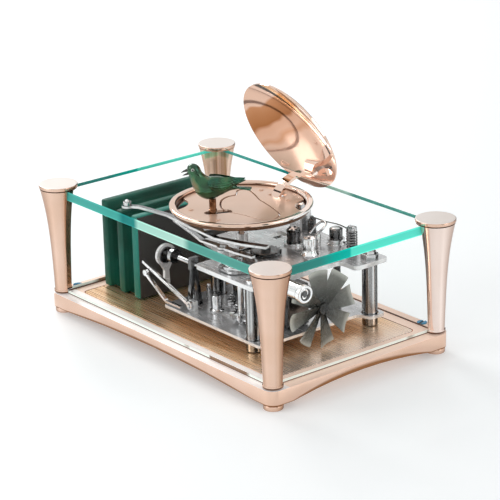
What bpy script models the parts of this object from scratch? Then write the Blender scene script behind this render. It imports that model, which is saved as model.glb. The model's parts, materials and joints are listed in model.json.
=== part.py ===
# Singing bird automaton in a glazed case: a folding bird on a round stage over an open movement.
# Lengths are in millimetres times MM. X runs along the case, Y to its back and Z up from the floor.
# The names ending in _X, _Y or _Z are places, and all the others are sizes, angles or counts.
import math

import bmesh
import bpy
import numpy as np
from mathutils import Matrix, Vector

MM = 0.001
COLLECTION = "singing_bird_automaton"
WELD = 0.000002

# Clearances
GAP = 0.3 * MM
RUNNING_GAP = 0.3 * MM
OUTLINE_GAP = 0.35 * MM

# Case
MOVEMENT_END_X = 53.0 * MM
MOVEMENT_SIDE_Y = 28.6 * MM
END_CLEARANCE = 1.4 * MM
SIDE_CLEARANCE = 3.7 * MM
PILLAR_OUTSET_X = 0.6 * MM
PILLAR_INSET_Y = 0.3 * MM
FRAME_MARGIN = 3.7 * MM
FOOT_RADIUS = 3.3 * MM
FOOT_HEIGHT = 1.8 * MM
FRAME_HEIGHT = 5.0 * MM
FRAME_EDGE = 0.5 * MM
LONG_ARCH_RISE = 2.0 * MM
SHORT_ARCH_RISE = 2.6 * MM
ARCH_END_LAND = 9.0 * MM
PLATE_LEDGE = 2.8 * MM
PLATE_THICKNESS = 1.3 * MM
PLATE_INSET_X = 5.2 * MM
PLATE_INSET_Y = 4.6 * MM
PLATE_CORNER_RADIUS = 1.8 * MM
PANE_THICKNESS = 3.0 * MM
TOP_PANE_THICKNESS = 4.0 * MM
TOP_PANE_Z = 40.9 * MM
PILLAR_FOOT_RADIUS = 3.15 * MM
PILLAR_TOP_RADIUS = 6.55 * MM
PILLAR_OVER_GLASS = 0.35 * MM
CAP_RADIUS = 6.8 * MM
CAP_THICKNESS = 1.25 * MM

# Stage and bezel
STAGE_TOP_Z = 45.3 * MM
STAGE_THICKNESS = 0.8 * MM
STAGE_RADIUS = 21.9 * MM
BEZEL_LIP_RADIUS = 24.4 * MM
BEZEL_LIP_HEIGHT = 1.0 * MM
BEZEL_WALL = 1.0 * MM
BEZEL_DROP = 2.4 * MM
BEZEL_LEDGE = 1.6 * MM
CRESCENT_RADIUS = 12.0 * MM
CRESCENT_DEPTH = 2.4 * MM
CRESCENT_ANGLES = (-136.0, 46.0)
ARM_SLOT_Y = 15.9 * MM
ARM_SLOT_LENGTH = 4.8 * MM
BIRD_X = -0.3 * MM
BIRD_Y = -11.9 * MM
FOLD_AXIS_ANGLE = -25.0
POST_SLOT_HALF_WIDTH = 1.7 * MM
POST_SLOT_START = -1.3 * MM
POST_SLOT_END = 6.0 * MM
FLAP_THICKNESS = 0.7 * MM
FLAP_STEM_RADIUS = 0.9 * MM
FLAP_STEM_ALONG = -8.3 * MM
FLAP_STEM_ACROSS = 11.5 * MM
FLAP_STEM_LENGTH = 12.5 * MM
GUIDE_HEIGHT = 3.4 * MM
GUIDE_RADIUS = 2.2 * MM

# Outline of the trap that lets the bird down, along and across the fold axis from the bird's post
TRAP_OUTLINE = (
    (-4.8, 3.6), (-11.6, 5.3), (-15.3, 8.4), (-16.5, 11.6), (-21.2, 13.6), (-20.4, 17.2),
    (-14.3, 18.2), (-9.1, 18.4), (-4.2, 19.4), (2.6, 20.6), (8.9, 21.0), (13.2, 17.6),
    (11.9, 13.2), (5.6, 8.9), (0.6, 4.7),
)
TRAP_SMOOTHING = 4

# Bird and its carriage
FOLD_AXIS_Z = 42.3 * MM
BIRD_HEADING = 231.0
TUBE_RADIUS = 1.2 * MM
TUBE_JOURNAL_RADIUS = 0.85 * MM
TUBE_TOP_Z = 50.2 * MM
CARRIAGE_RADIUS = 1.8 * MM
CARRIAGE_ABOVE_AXIS = 0.8 * MM
CARRIAGE_BELOW_AXIS = 1.4 * MM
TRUNNION_RADIUS = 0.7 * MM
LUG_THICKNESS = 1.0 * MM
LUG_GAP = 1.1 * MM
WING_THICKNESS = 0.7 * MM

# Lid
LID_OPEN_ANGLE = 65.0
LID_HINGE_Y = 25.6 * MM
LID_HINGE_Z = 38.6 * MM
LID_RADIUS = 21.6 * MM
LID_RIM_Z = 46.0 * MM
LID_DOME_HEIGHT = 3.3 * MM
LID_WALL = 0.8 * MM
LID_ARM_RADIUS = 12.2 * MM
LID_ARM_THICKNESS = 1.0 * MM
LID_ARM_WIDTH = 4.0 * MM
LID_ARM_START_ANGLE = 73.4
LID_ARM_END_ANGLE = 153.0
LID_HUB_RADIUS = 1.8 * MM
LID_PIN_RADIUS = 0.8 * MM
BRACKET_FLOOR = 1.2 * MM

# Movement plates and posts
LOWER_PLATE_Z = 10.4 * MM
LOWER_PLATE_THICKNESS = 1.0 * MM
UPPER_PLATE_Z = 29.3 * MM
UPPER_PLATE_THICKNESS = 1.5 * MM
POST_RADIUS = 2.65 * MM
POST_PLACES = ((30.5, -20.2), (38.4, 23.4), (-10.8, 23.8), (-10.6, -2.6))
LOWER_PLATE_OUTLINE = ((-15.0, -23.3), (37.3, -23.3), (37.3, 19.0), (42.2, 20.6), (42.2, 27.2), (-15.0, 27.2))
UPPER_PLATE_REST = ((42.2, 14.2), (42.2, 28.6), (-14.4, 28.6), (-14.4, -6.2), (3.6, -9.6), (3.6, -23.3))
PLATE_CORNER = 1.6 * MM
ARM_WINDOW_HALF_WIDTH = 2.7 * MM
ARM_WINDOW_Y = 16.0 * MM
ARM_WINDOW_LENGTH = 6.4 * MM

# Bellows
BELLOWS_FRONT_Y = -21.0 * MM
BELLOWS_BACK_Y = 21.0 * MM
BELLOWS_BOTTOM_Z = 7.4 * MM
BELLOWS_TOP_Z = 39.4 * MM
WIND_BOARD_TOP_Z = 37.8 * MM
RESERVOIR_BOARD_THICKNESS = 3.5 * MM
WIND_BOARD_X = -44.0 * MM
WIND_BOARD_THICKNESS = 3.5 * MM
FEEDER_BOARD_X = -35.4 * MM
FEEDER_BOARD_THICKNESS = 3.9 * MM
FOLD_DEPTHS = (0.4, 2.2, 1.1, 2.4, 0.4)
BOARD_EDGE = 0.7 * MM

# Drive train
BARREL_X = 12.0 * MM
BARREL_Y = 0.5 * MM
BARREL_RADIUS = 11.4 * MM
BARREL_BOTTOM_Z = 12.6 * MM
BARREL_HEIGHT = 13.2 * MM
GEAR_MODULE = 0.8 * MM
GREAT_WHEEL_TEETH = 32
PINION_TEETH = 8
GREAT_WHEEL_THICKNESS = 1.4 * MM
GREAT_WHEEL_Z = 13.4 * MM
BARREL_ARBOR_RADIUS = 1.6 * MM
RATCHET_RADIUS = 5.4 * MM
RATCHET_TEETH = 18
PINION_ANGLE = -71.8
CAM_ARBOR_RADIUS = 1.1 * MM
CAM_RADII = (7.2, 6.4, 5.6)
CAM_THICKNESS = 0.8 * MM
CAM_LIFTS = (6, 4, 3)
CAM_LIFT_HEIGHT = 0.55 * MM

# Eccentric that pumps the bellows
ECCENTRIC_Y = -16.0 * MM
ECCENTRIC_Z = 26.4 * MM
ECCENTRIC_X = -22.5 * MM
ECCENTRIC_THROW = 0.9 * MM
ECCENTRIC_RADIUS = 2.7 * MM
STRAP_WIDTH = 1.0 * MM
STRAP_THICKNESS = 1.2 * MM
STRAP_TAIL_LENGTH = 6.4 * MM
STRAP_TAIL_NECK = 2.6 * MM
STRAP_EYE_RADIUS = 0.45 * MM
ECCENTRIC_SHAFT_RADIUS = 0.9 * MM
ECCENTRIC_SHAFT_END_X = -4.0 * MM
SMALL_WHEEL_RADIUS = 2.6 * MM
BRIDGE_X = -7.6 * MM
BRIDGE_THICKNESS = 1.8 * MM
BRIDGE_WIDTH = 5.6 * MM

# Fan and its governor
FAN_X = 44.6 * MM
FAN_Y = -3.0 * MM
FAN_Z = 21.5 * MM
FAN_RADIUS = 13.3 * MM
FAN_BLADES = 8
FAN_HUB_RADIUS = 1.7 * MM
FAN_HUB_LENGTH = 3.0 * MM
FAN_ROOT_CHORD = 2.6 * MM
FAN_TIP_CHORD = 6.0 * MM
FAN_ROOT_PITCH = 62.0
FAN_TIP_PITCH = 34.0
FAN_BLADE_THICKNESS = 0.45 * MM
FAN_ARBOR_RADIUS = 0.8 * MM
HOUSING_X = 27.4 * MM
HOUSING_LENGTH = 5.6 * MM
HOUSING_WIDTH = 9.0 * MM
HOUSING_HEIGHT = 14.4 * MM

# Whistle
WHISTLE_LENGTH = 18.2 * MM
WHISTLE_END_CLEARANCE = 1.7 * MM
WHISTLE_Y = -16.4 * MM
WHISTLE_Z = 31.9 * MM
WHISTLE_RADIUS = 2.8 * MM
WHISTLE_WALL = 0.6 * MM
PISTON_ROD_RADIUS = 0.6 * MM
PISTON_ROD_REACH = 7.9 * MM
PISTON_DEPTH = 3.1 * MM
PISTON_HEAD_LENGTH = 3.0 * MM

# Levers and springs
LONG_LEVER_Z = 38.1 * MM
SHORT_LEVER_Z = 34.6 * MM
LEVER_THICKNESS = 0.8 * MM
LEVER_EYE_RADIUS = 2.0 * MM
LEVER_STUD_RADIUS = 0.9 * MM
LONG_LEVER_ROUTE = (
    (-42.2, -17.2, 1.0), (-38.4, -14.6, 0.9), (-24.7, -12.6, 0.9), (-12.0, -14.0, 0.9), (5.6, -15.2, 1.0),
    (15.9, -12.2, 1.2), (24.0, -8.4, 1.2),
)
SHORT_LEVER_ROUTE = (
    (6.2, -13.2, 1.2), (-4.0, -14.0, 1.0), (-12.3, -11.6, 0.9), (-27.0, -8.2, 0.8),
)
SHORT_LEVER_NOSE = ((6.2, -13.2, 1.2), (13.0, -12.8, 1.3), (20.8, -11.9, 0.9))
FEEDER_LEVER_Y = -20.6 * MM
FEEDER_LEVER_PIVOT_X = -3.4 * MM
FEEDER_LEVER_PIVOT_Z = 13.4 * MM
FEEDER_LEVER_TIP_X = -29.4 * MM
FEEDER_LEVER_TIP_Z = 22.4 * MM
FEEDER_LEVER_WIDTH = 1.0 * MM
LEVER_SUPPORT_THICKNESS = 1.4 * MM
LEVER_PIN_RADIUS = 0.5 * MM
PRESSURE_SPRING_Y = -21.4 * MM
PRESSURE_SPRING_WIDTH = 1.2 * MM
PRESSURE_SPRING_THICKNESS = 0.8 * MM
PRESSURE_SPRING_FOOT_X = -6.4 * MM
PRESSURE_SPRING_BEND_X = -15.6 * MM
PRESSURE_SPRING_BEND = 1.2 * MM
PRESSURE_SPRING_TIP_X = -26.1 * MM
PRESSURE_SPRING_TIP_Z = 19.2 * MM
PRESSURE_SPRING_HEAD = 1.1 * MM
STUD_RADIUS = 1.45 * MM
STUD_HEIGHT = 6.0 * MM
SPRING_STUD_PLACES = ((-9.6, -13.3), (2.4, -13.6))
TALL_STUDS = ((22.5, 10.8, 2.2, 6.0), (10.4, 13.9, 1.9, 5.4), (20.6, 24.2, 1.9, 5.6), (5.6, 26.2, 1.4, 4.4))
RETURN_SPRING_X = 28.2 * MM
RETURN_SPRING_Y = 24.6 * MM
COIL_RADIUS = 1.45 * MM
COIL_WIRE_RADIUS = 0.22 * MM
COIL_TURNS = 6
COIL_PITCH = 0.9 * MM
COIL_POINTS = 10
COIL_STUD_RADIUS = 0.8 * MM

# Places that follow from the sizes
GLASS_OUTER_X = MOVEMENT_END_X + END_CLEARANCE + PANE_THICKNESS
GLASS_OUTER_Y = MOVEMENT_SIDE_Y + SIDE_CLEARANCE + PANE_THICKNESS
CASE_HALF_X = GLASS_OUTER_X + PILLAR_OUTSET_X
CASE_HALF_Y = GLASS_OUTER_Y - PILLAR_INSET_Y
WHISTLE_X = GLASS_OUTER_X - PANE_THICKNESS - WHISTLE_END_CLEARANCE - WHISTLE_LENGTH
RESERVOIR_BOARD_X = -MOVEMENT_END_X
UPPER_PLATE_EDGE_X = WHISTLE_X - GAP
PISTON_ROD_X = WHISTLE_X - PISTON_ROD_REACH
PISTON_HEAD_X = WHISTLE_X + PISTON_DEPTH
PLATE_HALF_X = CASE_HALF_X - PLATE_INSET_X
PLATE_HALF_Y = CASE_HALF_Y - PLATE_INSET_Y
FRAME_BOTTOM_Z = FOOT_HEIGHT + GAP
FRAME_TOP_Z = FRAME_BOTTOM_Z + FRAME_HEIGHT
PLATE_TOP_Z = FRAME_TOP_Z
PLATE_BOTTOM_Z = PLATE_TOP_Z - PLATE_THICKNESS
TOP_PANE_TOP_Z = TOP_PANE_Z + TOP_PANE_THICKNESS
PILLAR_BOTTOM_Z = FRAME_TOP_Z + GAP
NOTCH_TOP_Z = TOP_PANE_TOP_Z + GAP
PILLAR_TOP_Z = NOTCH_TOP_Z + PILLAR_OVER_GLASS
CAP_BOTTOM_Z = PILLAR_TOP_Z + GAP
LOWER_PLATE_TOP_Z = LOWER_PLATE_Z + LOWER_PLATE_THICKNESS
UPPER_PLATE_TOP_Z = UPPER_PLATE_Z + UPPER_PLATE_THICKNESS
STAGE_BOTTOM_Z = STAGE_TOP_Z - STAGE_THICKNESS
BEZEL_LIP_Z = TOP_PANE_TOP_Z + GAP
BEZEL_INNER_RADIUS = STAGE_RADIUS + GAP
BEZEL_WALL_RADIUS = BEZEL_INNER_RADIUS + BEZEL_WALL
GLASS_HOLE_RADIUS = BEZEL_WALL_RADIUS + GAP
ALONG = Vector((math.cos(math.radians(FOLD_AXIS_ANGLE)), math.sin(math.radians(FOLD_AXIS_ANGLE)), 0.0))
ACROSS = Vector((-ALONG.y, ALONG.x, 0.0))
POST = Vector((BIRD_X, BIRD_Y, 0.0))
GREAT_WHEEL_RADIUS = 0.5 * GEAR_MODULE * GREAT_WHEEL_TEETH
PINION_RADIUS = 0.5 * GEAR_MODULE * PINION_TEETH
PINION_X = BARREL_X + (GREAT_WHEEL_RADIUS + PINION_RADIUS) * math.cos(math.radians(PINION_ANGLE))
PINION_Y = BARREL_Y + (GREAT_WHEEL_RADIUS + PINION_RADIUS) * math.sin(math.radians(PINION_ANGLE))


def reset_scene():
    """Clear the scene's objects and make the part's two collections."""
    for old in list(bpy.data.objects):
        bpy.data.objects.remove(old, do_unlink=True)
    part = bpy.data.collections.new(COLLECTION)
    cutters = bpy.data.collections.new(COLLECTION + "_cutters")
    bpy.context.scene.collection.children.link(part)
    bpy.context.scene.collection.children.link(cutters)
    return part, cutters


PART, CUTTERS = reset_scene()


def material(name, colour, metallic, roughness, alpha=1.0):
    """One Principled material with the colour and finish of a kind of piece."""
    made = bpy.data.materials.new(name)
    made.use_nodes = True
    shader = made.node_tree.nodes["Principled BSDF"]
    shader.inputs["Base Color"].default_value = (*colour, 1.0)
    shader.inputs["Metallic"].default_value = metallic
    shader.inputs["Roughness"].default_value = roughness
    shader.inputs["Alpha"].default_value = alpha
    made.diffuse_color = (*colour, alpha)
    return made


ROSE_GOLD = material("rose_gold", (0.85, 0.58, 0.45), 1.0, 0.12)
BRUSHED_COPPER = material("brushed_copper", (0.55, 0.36, 0.22), 1.0, 0.35)
GLASS = material("clear_glass", (0.55, 0.85, 0.80), 0.0, 0.03, 0.35)
STEEL = material("polished_steel", (0.72, 0.72, 0.72), 1.0, 0.18)
NICKEL = material("satin_nickel", (0.60, 0.60, 0.60), 1.0, 0.32)
GREEN_LEATHER = material("green_leather", (0.06, 0.28, 0.20), 0.0, 0.6)
GREY_BOARD = material("grey_board", (0.10, 0.10, 0.11), 0.0, 0.7)
ENAMEL = material("green_enamel", (0.04, 0.30, 0.18), 0.3, 0.2)
HORN = material("dark_horn", (0.06, 0.07, 0.06), 0.0, 0.35)
FAN_RESIN = material("smoky_resin", (0.50, 0.53, 0.48), 0.0, 0.35)


def smooth(mesh):
    """Shade round faces smooth and keep edges over 30 degrees sharp."""
    mesh.shade_smooth()
    mesh.set_sharp_from_angle(angle=math.radians(30.0))


def place(name, mesh, finish, origin=(0.0, 0.0, 0.0), cutter=False):
    """Link a mesh that is written in world places as an object whose origin is at the given point."""
    mesh.transform(Matrix.Translation(-Vector(origin)))
    made = bpy.data.objects.new(name, mesh)
    made.location = Vector(origin)
    if cutter:
        CUTTERS.objects.link(made)
        made.hide_render = True
        made.display_type = "WIRE"
        return made
    PART.objects.link(made)
    mesh.materials.clear()
    mesh.materials.append(finish)
    return made


def mesh_from(bm, name):
    """Turn a bmesh into a mesh whose faces point out."""
    bmesh.ops.recalc_face_normals(bm, faces=bm.faces[:])
    mesh = bpy.data.meshes.new(name)
    bm.to_mesh(mesh)
    bm.free()
    return mesh


def block_mesh(low, high, name="block"):
    """A box between two corners."""
    bm = bmesh.new()
    bmesh.ops.create_cube(bm, size=1.0)
    size = Vector(high) - Vector(low)
    centre = 0.5 * (Vector(high) + Vector(low))
    for vertex in bm.verts:
        vertex.co = Vector(vertex.co[i] * size[i] + centre[i] for i in range(3))
    return mesh_from(bm, name)


def rod_mesh(start, end, radius, sides=24, end_radius=None, name="rod"):
    """A round rod or cone between two points."""
    bm = bmesh.new()
    line = Vector(end) - Vector(start)
    turn = line.to_track_quat("Z", "Y").to_matrix().to_4x4()
    matrix = Matrix.Translation(0.5 * (Vector(start) + Vector(end))) @ turn
    last = radius if end_radius is None else end_radius
    bmesh.ops.create_cone(
        bm, cap_ends=True, segments=sides, radius1=radius, radius2=last, depth=line.length, matrix=matrix
    )
    return mesh_from(bm, name)


def turned_mesh(profile, steps=32, name="turned"):
    """A solid turned about Z from (radius, height) points that run down its outer side."""
    bm = bmesh.new()
    chain = [bm.verts.new((radius, 0.0, height)) for radius, height in profile]
    for first, second in zip(chain, chain[1:]):
        bm.edges.new((first, second))
    if all(radius > 0.0 for radius, height in profile):
        bm.edges.new((chain[-1], chain[0]))
    mesh = bpy.data.meshes.new(name)
    bm.to_mesh(mesh)
    bm.free()
    guide = bpy.data.objects.new(name, mesh)
    CUTTERS.objects.link(guide)
    screw = guide.modifiers.new("turn", "SCREW")
    screw.steps = steps
    screw.render_steps = steps
    screw.use_merge_vertices = True
    screw.merge_threshold = WELD
    screw.use_normal_calculate = True
    return applied(guide)


def applied(guide):
    """Take an object's evaluated mesh and remove the object."""
    bpy.context.view_layer.update()
    seen = guide.evaluated_get(bpy.context.evaluated_depsgraph_get())
    mesh = bpy.data.meshes.new_from_object(seen)
    mesh.transform(guide.matrix_world)
    bpy.data.objects.remove(guide, do_unlink=True)
    bm = bmesh.new()
    bm.from_mesh(mesh)
    bmesh.ops.remove_doubles(bm, verts=bm.verts[:], dist=WELD)
    bmesh.ops.recalc_face_normals(bm, faces=bm.faces[:])
    bm.to_mesh(mesh)
    bm.free()
    return mesh


def sheet_mesh(points, low, high, name="sheet"):
    """A flat outline of (x, y) points, extruded from one height to another."""
    curve = bpy.data.curves.new(name, "CURVE")
    curve.dimensions = "2D"
    curve.fill_mode = "BOTH"
    curve.extrude = 0.5 * (high - low)
    spline = curve.splines.new("POLY")
    spline.points.add(len(points) - 1)
    for point, (x, y) in zip(spline.points, points):
        point.co = (x, y, 0.0, 1.0)
    spline.use_cyclic_u = True
    guide = bpy.data.objects.new(name, curve)
    guide.location.z = 0.5 * (high + low)
    CUTTERS.objects.link(guide)
    return applied(guide)


def tube_mesh(points, radius, resolution=2, name="tube"):
    """A round wire through the given points."""
    curve = bpy.data.curves.new(name, "CURVE")
    curve.dimensions = "3D"
    curve.bevel_depth = radius
    curve.bevel_resolution = resolution
    curve.use_fill_caps = True
    spline = curve.splines.new("POLY")
    spline.points.add(len(points) - 1)
    for point, place_at in zip(spline.points, points):
        point.co = (*place_at, 1.0)
    guide = bpy.data.objects.new(name, curve)
    CUTTERS.objects.link(guide)
    return applied(guide)


def round_corners(corners, radius, steps=3):
    """Replace each corner of a closed outline by a short arc of the given radius."""
    outline = []
    count = len(corners)
    for index in range(count):
        corner = Vector(corners[index])
        back = Vector(corners[index - 1]) - corner
        ahead = Vector(corners[(index + 1) % count]) - corner
        half = 0.5 * back.angle(ahead)
        run = min(radius / math.tan(half), 0.45 * back.length, 0.45 * ahead.length)
        inward = (back.normalized() + ahead.normalized()).normalized()
        true_radius = run * math.tan(half)
        centre = corner + inward * (true_radius / math.sin(half))
        first = corner + back.normalized() * run - centre
        last = corner + ahead.normalized() * run - centre
        turn = first.angle_signed(last)
        for step in range(steps + 1):
            spoke = first.copy()
            spoke.rotate(Matrix.Rotation(-turn * step / steps, 2))
            outline.append(tuple(centre + spoke))
    return outline


def rounded_box(half_x, half_y, radius, steps=4):
    """The outline of a rectangle with round corners, centred on the origin."""
    corners = ((-half_x, -half_y), (half_x, -half_y), (half_x, half_y), (-half_x, half_y))
    return round_corners(corners, radius, steps)


def to_metres(pairs):
    """Read a table of millimetre pairs as metres."""
    return [(x * MM, y * MM) for x, y in pairs]


def modify(target, kind, other):
    """Add one exact Boolean modifier between two objects."""
    step = target.modifiers.new(kind.lower(), "BOOLEAN")
    step.operation = kind
    step.solver = "EXACT"
    step.object = other


def cut(target, mesh):
    """Cut a mesh away from an object."""
    modify(target, "DIFFERENCE", place(target.name + "_cut", mesh, None, cutter=True))


def add(target, mesh):
    """Fuse a mesh with an object."""
    modify(target, "UNION", place(target.name + "_boss", mesh, None, cutter=True))


def bevel(target, width, segments=2, angle=35.0):
    """Round an object's edges."""
    step = target.modifiers.new("bevel", "BEVEL")
    step.width = width
    step.segments = segments
    step.limit_method = "ANGLE"
    step.angle_limit = math.radians(angle)
    step.use_clamp_overlap = True


def fold_point(along, across, height):
    """A world place from the fold axis's own coordinates."""
    return POST + along * ALONG + across * ACROSS + Vector((0.0, 0.0, height))


# Case


def make_base_frame():
    """The base rim: rounded corners, a window for the base plate and an arch under each side."""
    half_x = CASE_HALF_X + FRAME_MARGIN
    half_y = CASE_HALF_Y + FRAME_MARGIN
    outline = rounded_box(half_x, half_y, FRAME_MARGIN, 5)
    frame = place("base_frame", sheet_mesh(outline, FRAME_BOTTOM_Z, FRAME_TOP_Z), ROSE_GOLD)
    for half, rise, turn in ((half_x, LONG_ARCH_RISE, 0.0), (half_y, SHORT_ARCH_RISE, 0.5 * math.pi)):
        run = half - ARCH_END_LAND
        radius = (run * run + rise * rise) / (2.0 * rise)
        drop = FRAME_BOTTOM_Z + rise - radius
        reach = 2.0 * half_x
        arch = rod_mesh((0.0, -reach, drop), (0.0, reach, drop), radius, 160)
        arch.transform(Matrix.Rotation(turn, 4, "Z"))
        cut(frame, arch)
    bevel(frame, FRAME_EDGE)
    window = rounded_box(PLATE_HALF_X - PLATE_LEDGE, PLATE_HALF_Y - PLATE_LEDGE, PLATE_CORNER_RADIUS)
    cut(frame, sheet_mesh(window, 0.0, FRAME_TOP_Z + GAP))
    rebate = rounded_box(PLATE_HALF_X + GAP, PLATE_HALF_Y + GAP, PLATE_CORNER_RADIUS + GAP)
    cut(frame, sheet_mesh(rebate, PLATE_BOTTOM_Z - GAP, FRAME_TOP_Z + GAP))
    return frame


def make_base_plate():
    """The brushed plate that the movement stands on."""
    outline = rounded_box(PLATE_HALF_X, PLATE_HALF_Y, PLATE_CORNER_RADIUS)
    plate = place("base_plate", sheet_mesh(outline, PLATE_BOTTOM_Z, PLATE_TOP_Z), BRUSHED_COPPER)
    smooth(plate.data)


def pillar_profile():
    """Radius and height points of a trumpet pillar, from its top down."""
    height = PILLAR_TOP_Z - PILLAR_BOTTOM_Z
    flare = PILLAR_TOP_RADIUS - PILLAR_FOOT_RADIUS
    points = [(0.0, PILLAR_TOP_Z)]
    for step in range(8):
        share = 1.0 - step / 7.0
        radius = PILLAR_FOOT_RADIUS + flare * (0.34 * share + 0.66 * share ** 3.4)
        points.append((radius, PILLAR_BOTTOM_Z + 1.1 * MM + share * (height - 1.1 * MM)))
    bead = PILLAR_FOOT_RADIUS + 0.25 * MM
    points.append((bead, PILLAR_BOTTOM_Z + 0.9 * MM))
    points.append((bead, PILLAR_BOTTOM_Z + 0.15 * MM))
    points.append((bead - 0.15 * MM, PILLAR_BOTTOM_Z))
    points.append((0.0, PILLAR_BOTTOM_Z))
    return points


def make_corner(name, side_x, side_y):
    """A foot, its pillar with the notch for the glass, and the cap."""
    x = side_x * CASE_HALF_X
    y = side_y * CASE_HALF_Y
    spot = Matrix.Translation((x, y, 0.0))
    edge = 0.35 * MM
    foot = turned_mesh((
        (0.0, FOOT_HEIGHT), (FOOT_RADIUS - edge, FOOT_HEIGHT), (FOOT_RADIUS, FOOT_HEIGHT - edge),
        (FOOT_RADIUS, edge), (FOOT_RADIUS - edge, 0.0), (0.0, 0.0)
    ), 20)
    foot.transform(spot)
    smooth(foot)
    place("foot_" + name, foot, ROSE_GOLD)
    pillar_mesh = turned_mesh(pillar_profile(), 24)
    pillar_mesh.transform(spot)
    smooth(pillar_mesh)
    pillar = place("pillar_" + name, pillar_mesh, ROSE_GOLD)
    inner_x = side_x * (GLASS_OUTER_X + GAP)
    inner_y = side_y * (GLASS_OUTER_Y + GAP)
    low = (min(inner_x, 0.0), min(inner_y, 0.0), 0.0)
    high = (max(inner_x, 0.0), max(inner_y, 0.0), NOTCH_TOP_Z)
    cut(pillar, block_mesh(low, high))
    top = CAP_BOTTOM_Z + CAP_THICKNESS
    cap = turned_mesh((
        (0.0, top), (CAP_RADIUS - edge, top), (CAP_RADIUS, top - edge),
        (CAP_RADIUS, CAP_BOTTOM_Z + edge), (CAP_RADIUS - edge, CAP_BOTTOM_Z), (0.0, CAP_BOTTOM_Z)
    ), 28)
    cap.transform(spot)
    smooth(cap)
    place("pillar_cap_" + name, cap, ROSE_GOLD)


def make_panes():
    """Four side panes that butt at the corners, and the top pane with its round hole."""
    low_z = FRAME_TOP_Z + GAP
    high_z = TOP_PANE_Z - GAP
    inner_x = GLASS_OUTER_X - PANE_THICKNESS
    inner_y = GLASS_OUTER_Y - PANE_THICKNESS
    for name, side in (("front", -1.0), ("back", 1.0)):
        near, far = sorted((side * inner_y, side * GLASS_OUTER_Y))
        mesh = block_mesh((-GLASS_OUTER_X, near, low_z), (GLASS_OUTER_X, far, high_z))
        place("pane_" + name, mesh, GLASS)
    for name, side in (("left", -1.0), ("right", 1.0)):
        near, far = sorted((side * inner_x, side * GLASS_OUTER_X))
        mesh = block_mesh((near, -inner_y + GAP, low_z), (far, inner_y - GAP, high_z))
        place("pane_" + name, mesh, GLASS)
    low = (-GLASS_OUTER_X, -GLASS_OUTER_Y, TOP_PANE_Z)
    high = (GLASS_OUTER_X, GLASS_OUTER_Y, TOP_PANE_TOP_Z)
    pane = place("pane_top", block_mesh(low, high), GLASS)
    cut(pane, rod_mesh((0.0, 0.0, 0.0), (0.0, 0.0, 2.0 * TOP_PANE_TOP_Z), GLASS_HOLE_RADIUS, 64))


# Stage


def trap_outline(inset):
    """The trap's smooth outline in (x, y), drawn in by the given inset."""
    knots = np.array(TRAP_OUTLINE) * MM
    ahead = np.roll(knots, -1, axis=0)
    behind = np.roll(knots, 1, axis=0)
    beyond = np.roll(knots, -2, axis=0)
    points = []
    for share in np.arange(TRAP_SMOOTHING) / TRAP_SMOOTHING:
        cubic = (
            2.0 * knots + (ahead - behind) * share
            + (2.0 * behind - 5.0 * knots + 4.0 * ahead - beyond) * share ** 2
            + (3.0 * knots - behind - 3.0 * ahead + beyond) * share ** 3
        )
        points.append(0.5 * cubic)
    loop = np.stack(points, axis=1).reshape(-1, 2)
    tangent = np.roll(loop, -1, axis=0) - np.roll(loop, 1, axis=0)
    tangent /= np.linalg.norm(tangent, axis=1)[:, None]
    area = np.sum(loop[:, 0] * np.roll(loop[:, 1], -1) - np.roll(loop[:, 0], -1) * loop[:, 1])
    inward = np.stack((-tangent[:, 1], tangent[:, 0]), axis=1) * np.sign(area)
    loop = loop + inward * inset
    world = POST.xy
    return [tuple(world + float(a) * ALONG.xy + float(b) * ACROSS.xy) for a, b in loop]


def make_bezel():
    """The ring that lines the glass hole, with a lip over the glass and a ledge under the stage."""
    lip_top = BEZEL_LIP_Z + BEZEL_LIP_HEIGHT
    bottom = BEZEL_LIP_Z - BEZEL_DROP
    ledge_top = STAGE_BOTTOM_Z - GAP
    ledge_radius = BEZEL_INNER_RADIUS - BEZEL_LEDGE
    edge = 0.3 * MM
    ring = turned_mesh((
        (BEZEL_INNER_RADIUS, lip_top - edge), (BEZEL_INNER_RADIUS + edge, lip_top),
        (BEZEL_LIP_RADIUS - edge, lip_top),
        (BEZEL_LIP_RADIUS, lip_top - edge), (BEZEL_LIP_RADIUS, BEZEL_LIP_Z), (BEZEL_WALL_RADIUS, BEZEL_LIP_Z),
        (BEZEL_WALL_RADIUS, bottom), (ledge_radius, bottom), (ledge_radius, ledge_top),
        (BEZEL_INNER_RADIUS, ledge_top),
    ), 56)
    smooth(ring)
    place("bezel_ring", ring, ROSE_GOLD)


def make_stage():
    """The stage with its trap, post slot, arm slot and two crescents."""
    disc = rod_mesh((0.0, 0.0, STAGE_BOTTOM_Z), (0.0, 0.0, STAGE_TOP_Z), STAGE_RADIUS, 64)
    smooth(disc)
    stage = place("stage_plate", disc, ROSE_GOLD)
    low = STAGE_BOTTOM_Z - GAP
    high = STAGE_TOP_Z + GAP
    cut(stage, sheet_mesh(trap_outline(0.0), low, high))
    slot = rounded_slot(POST_SLOT_START, POST_SLOT_END, POST_SLOT_HALF_WIDTH)
    cut(stage, sheet_mesh(slot, low, high))
    half = 0.5 * LID_ARM_WIDTH + 0.4 * MM
    back = ARM_SLOT_Y + 0.5 * ARM_SLOT_LENGTH
    cut(stage, block_mesh((-half, ARM_SLOT_Y - 0.5 * ARM_SLOT_LENGTH, low), (half, back, high)))
    for angle in CRESCENT_ANGLES:
        reach = STAGE_RADIUS + CRESCENT_RADIUS - CRESCENT_DEPTH
        x = reach * math.cos(math.radians(angle))
        y = reach * math.sin(math.radians(angle))
        cut(stage, rod_mesh((x, y, low), (x, y, high), CRESCENT_RADIUS, 48))


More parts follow.
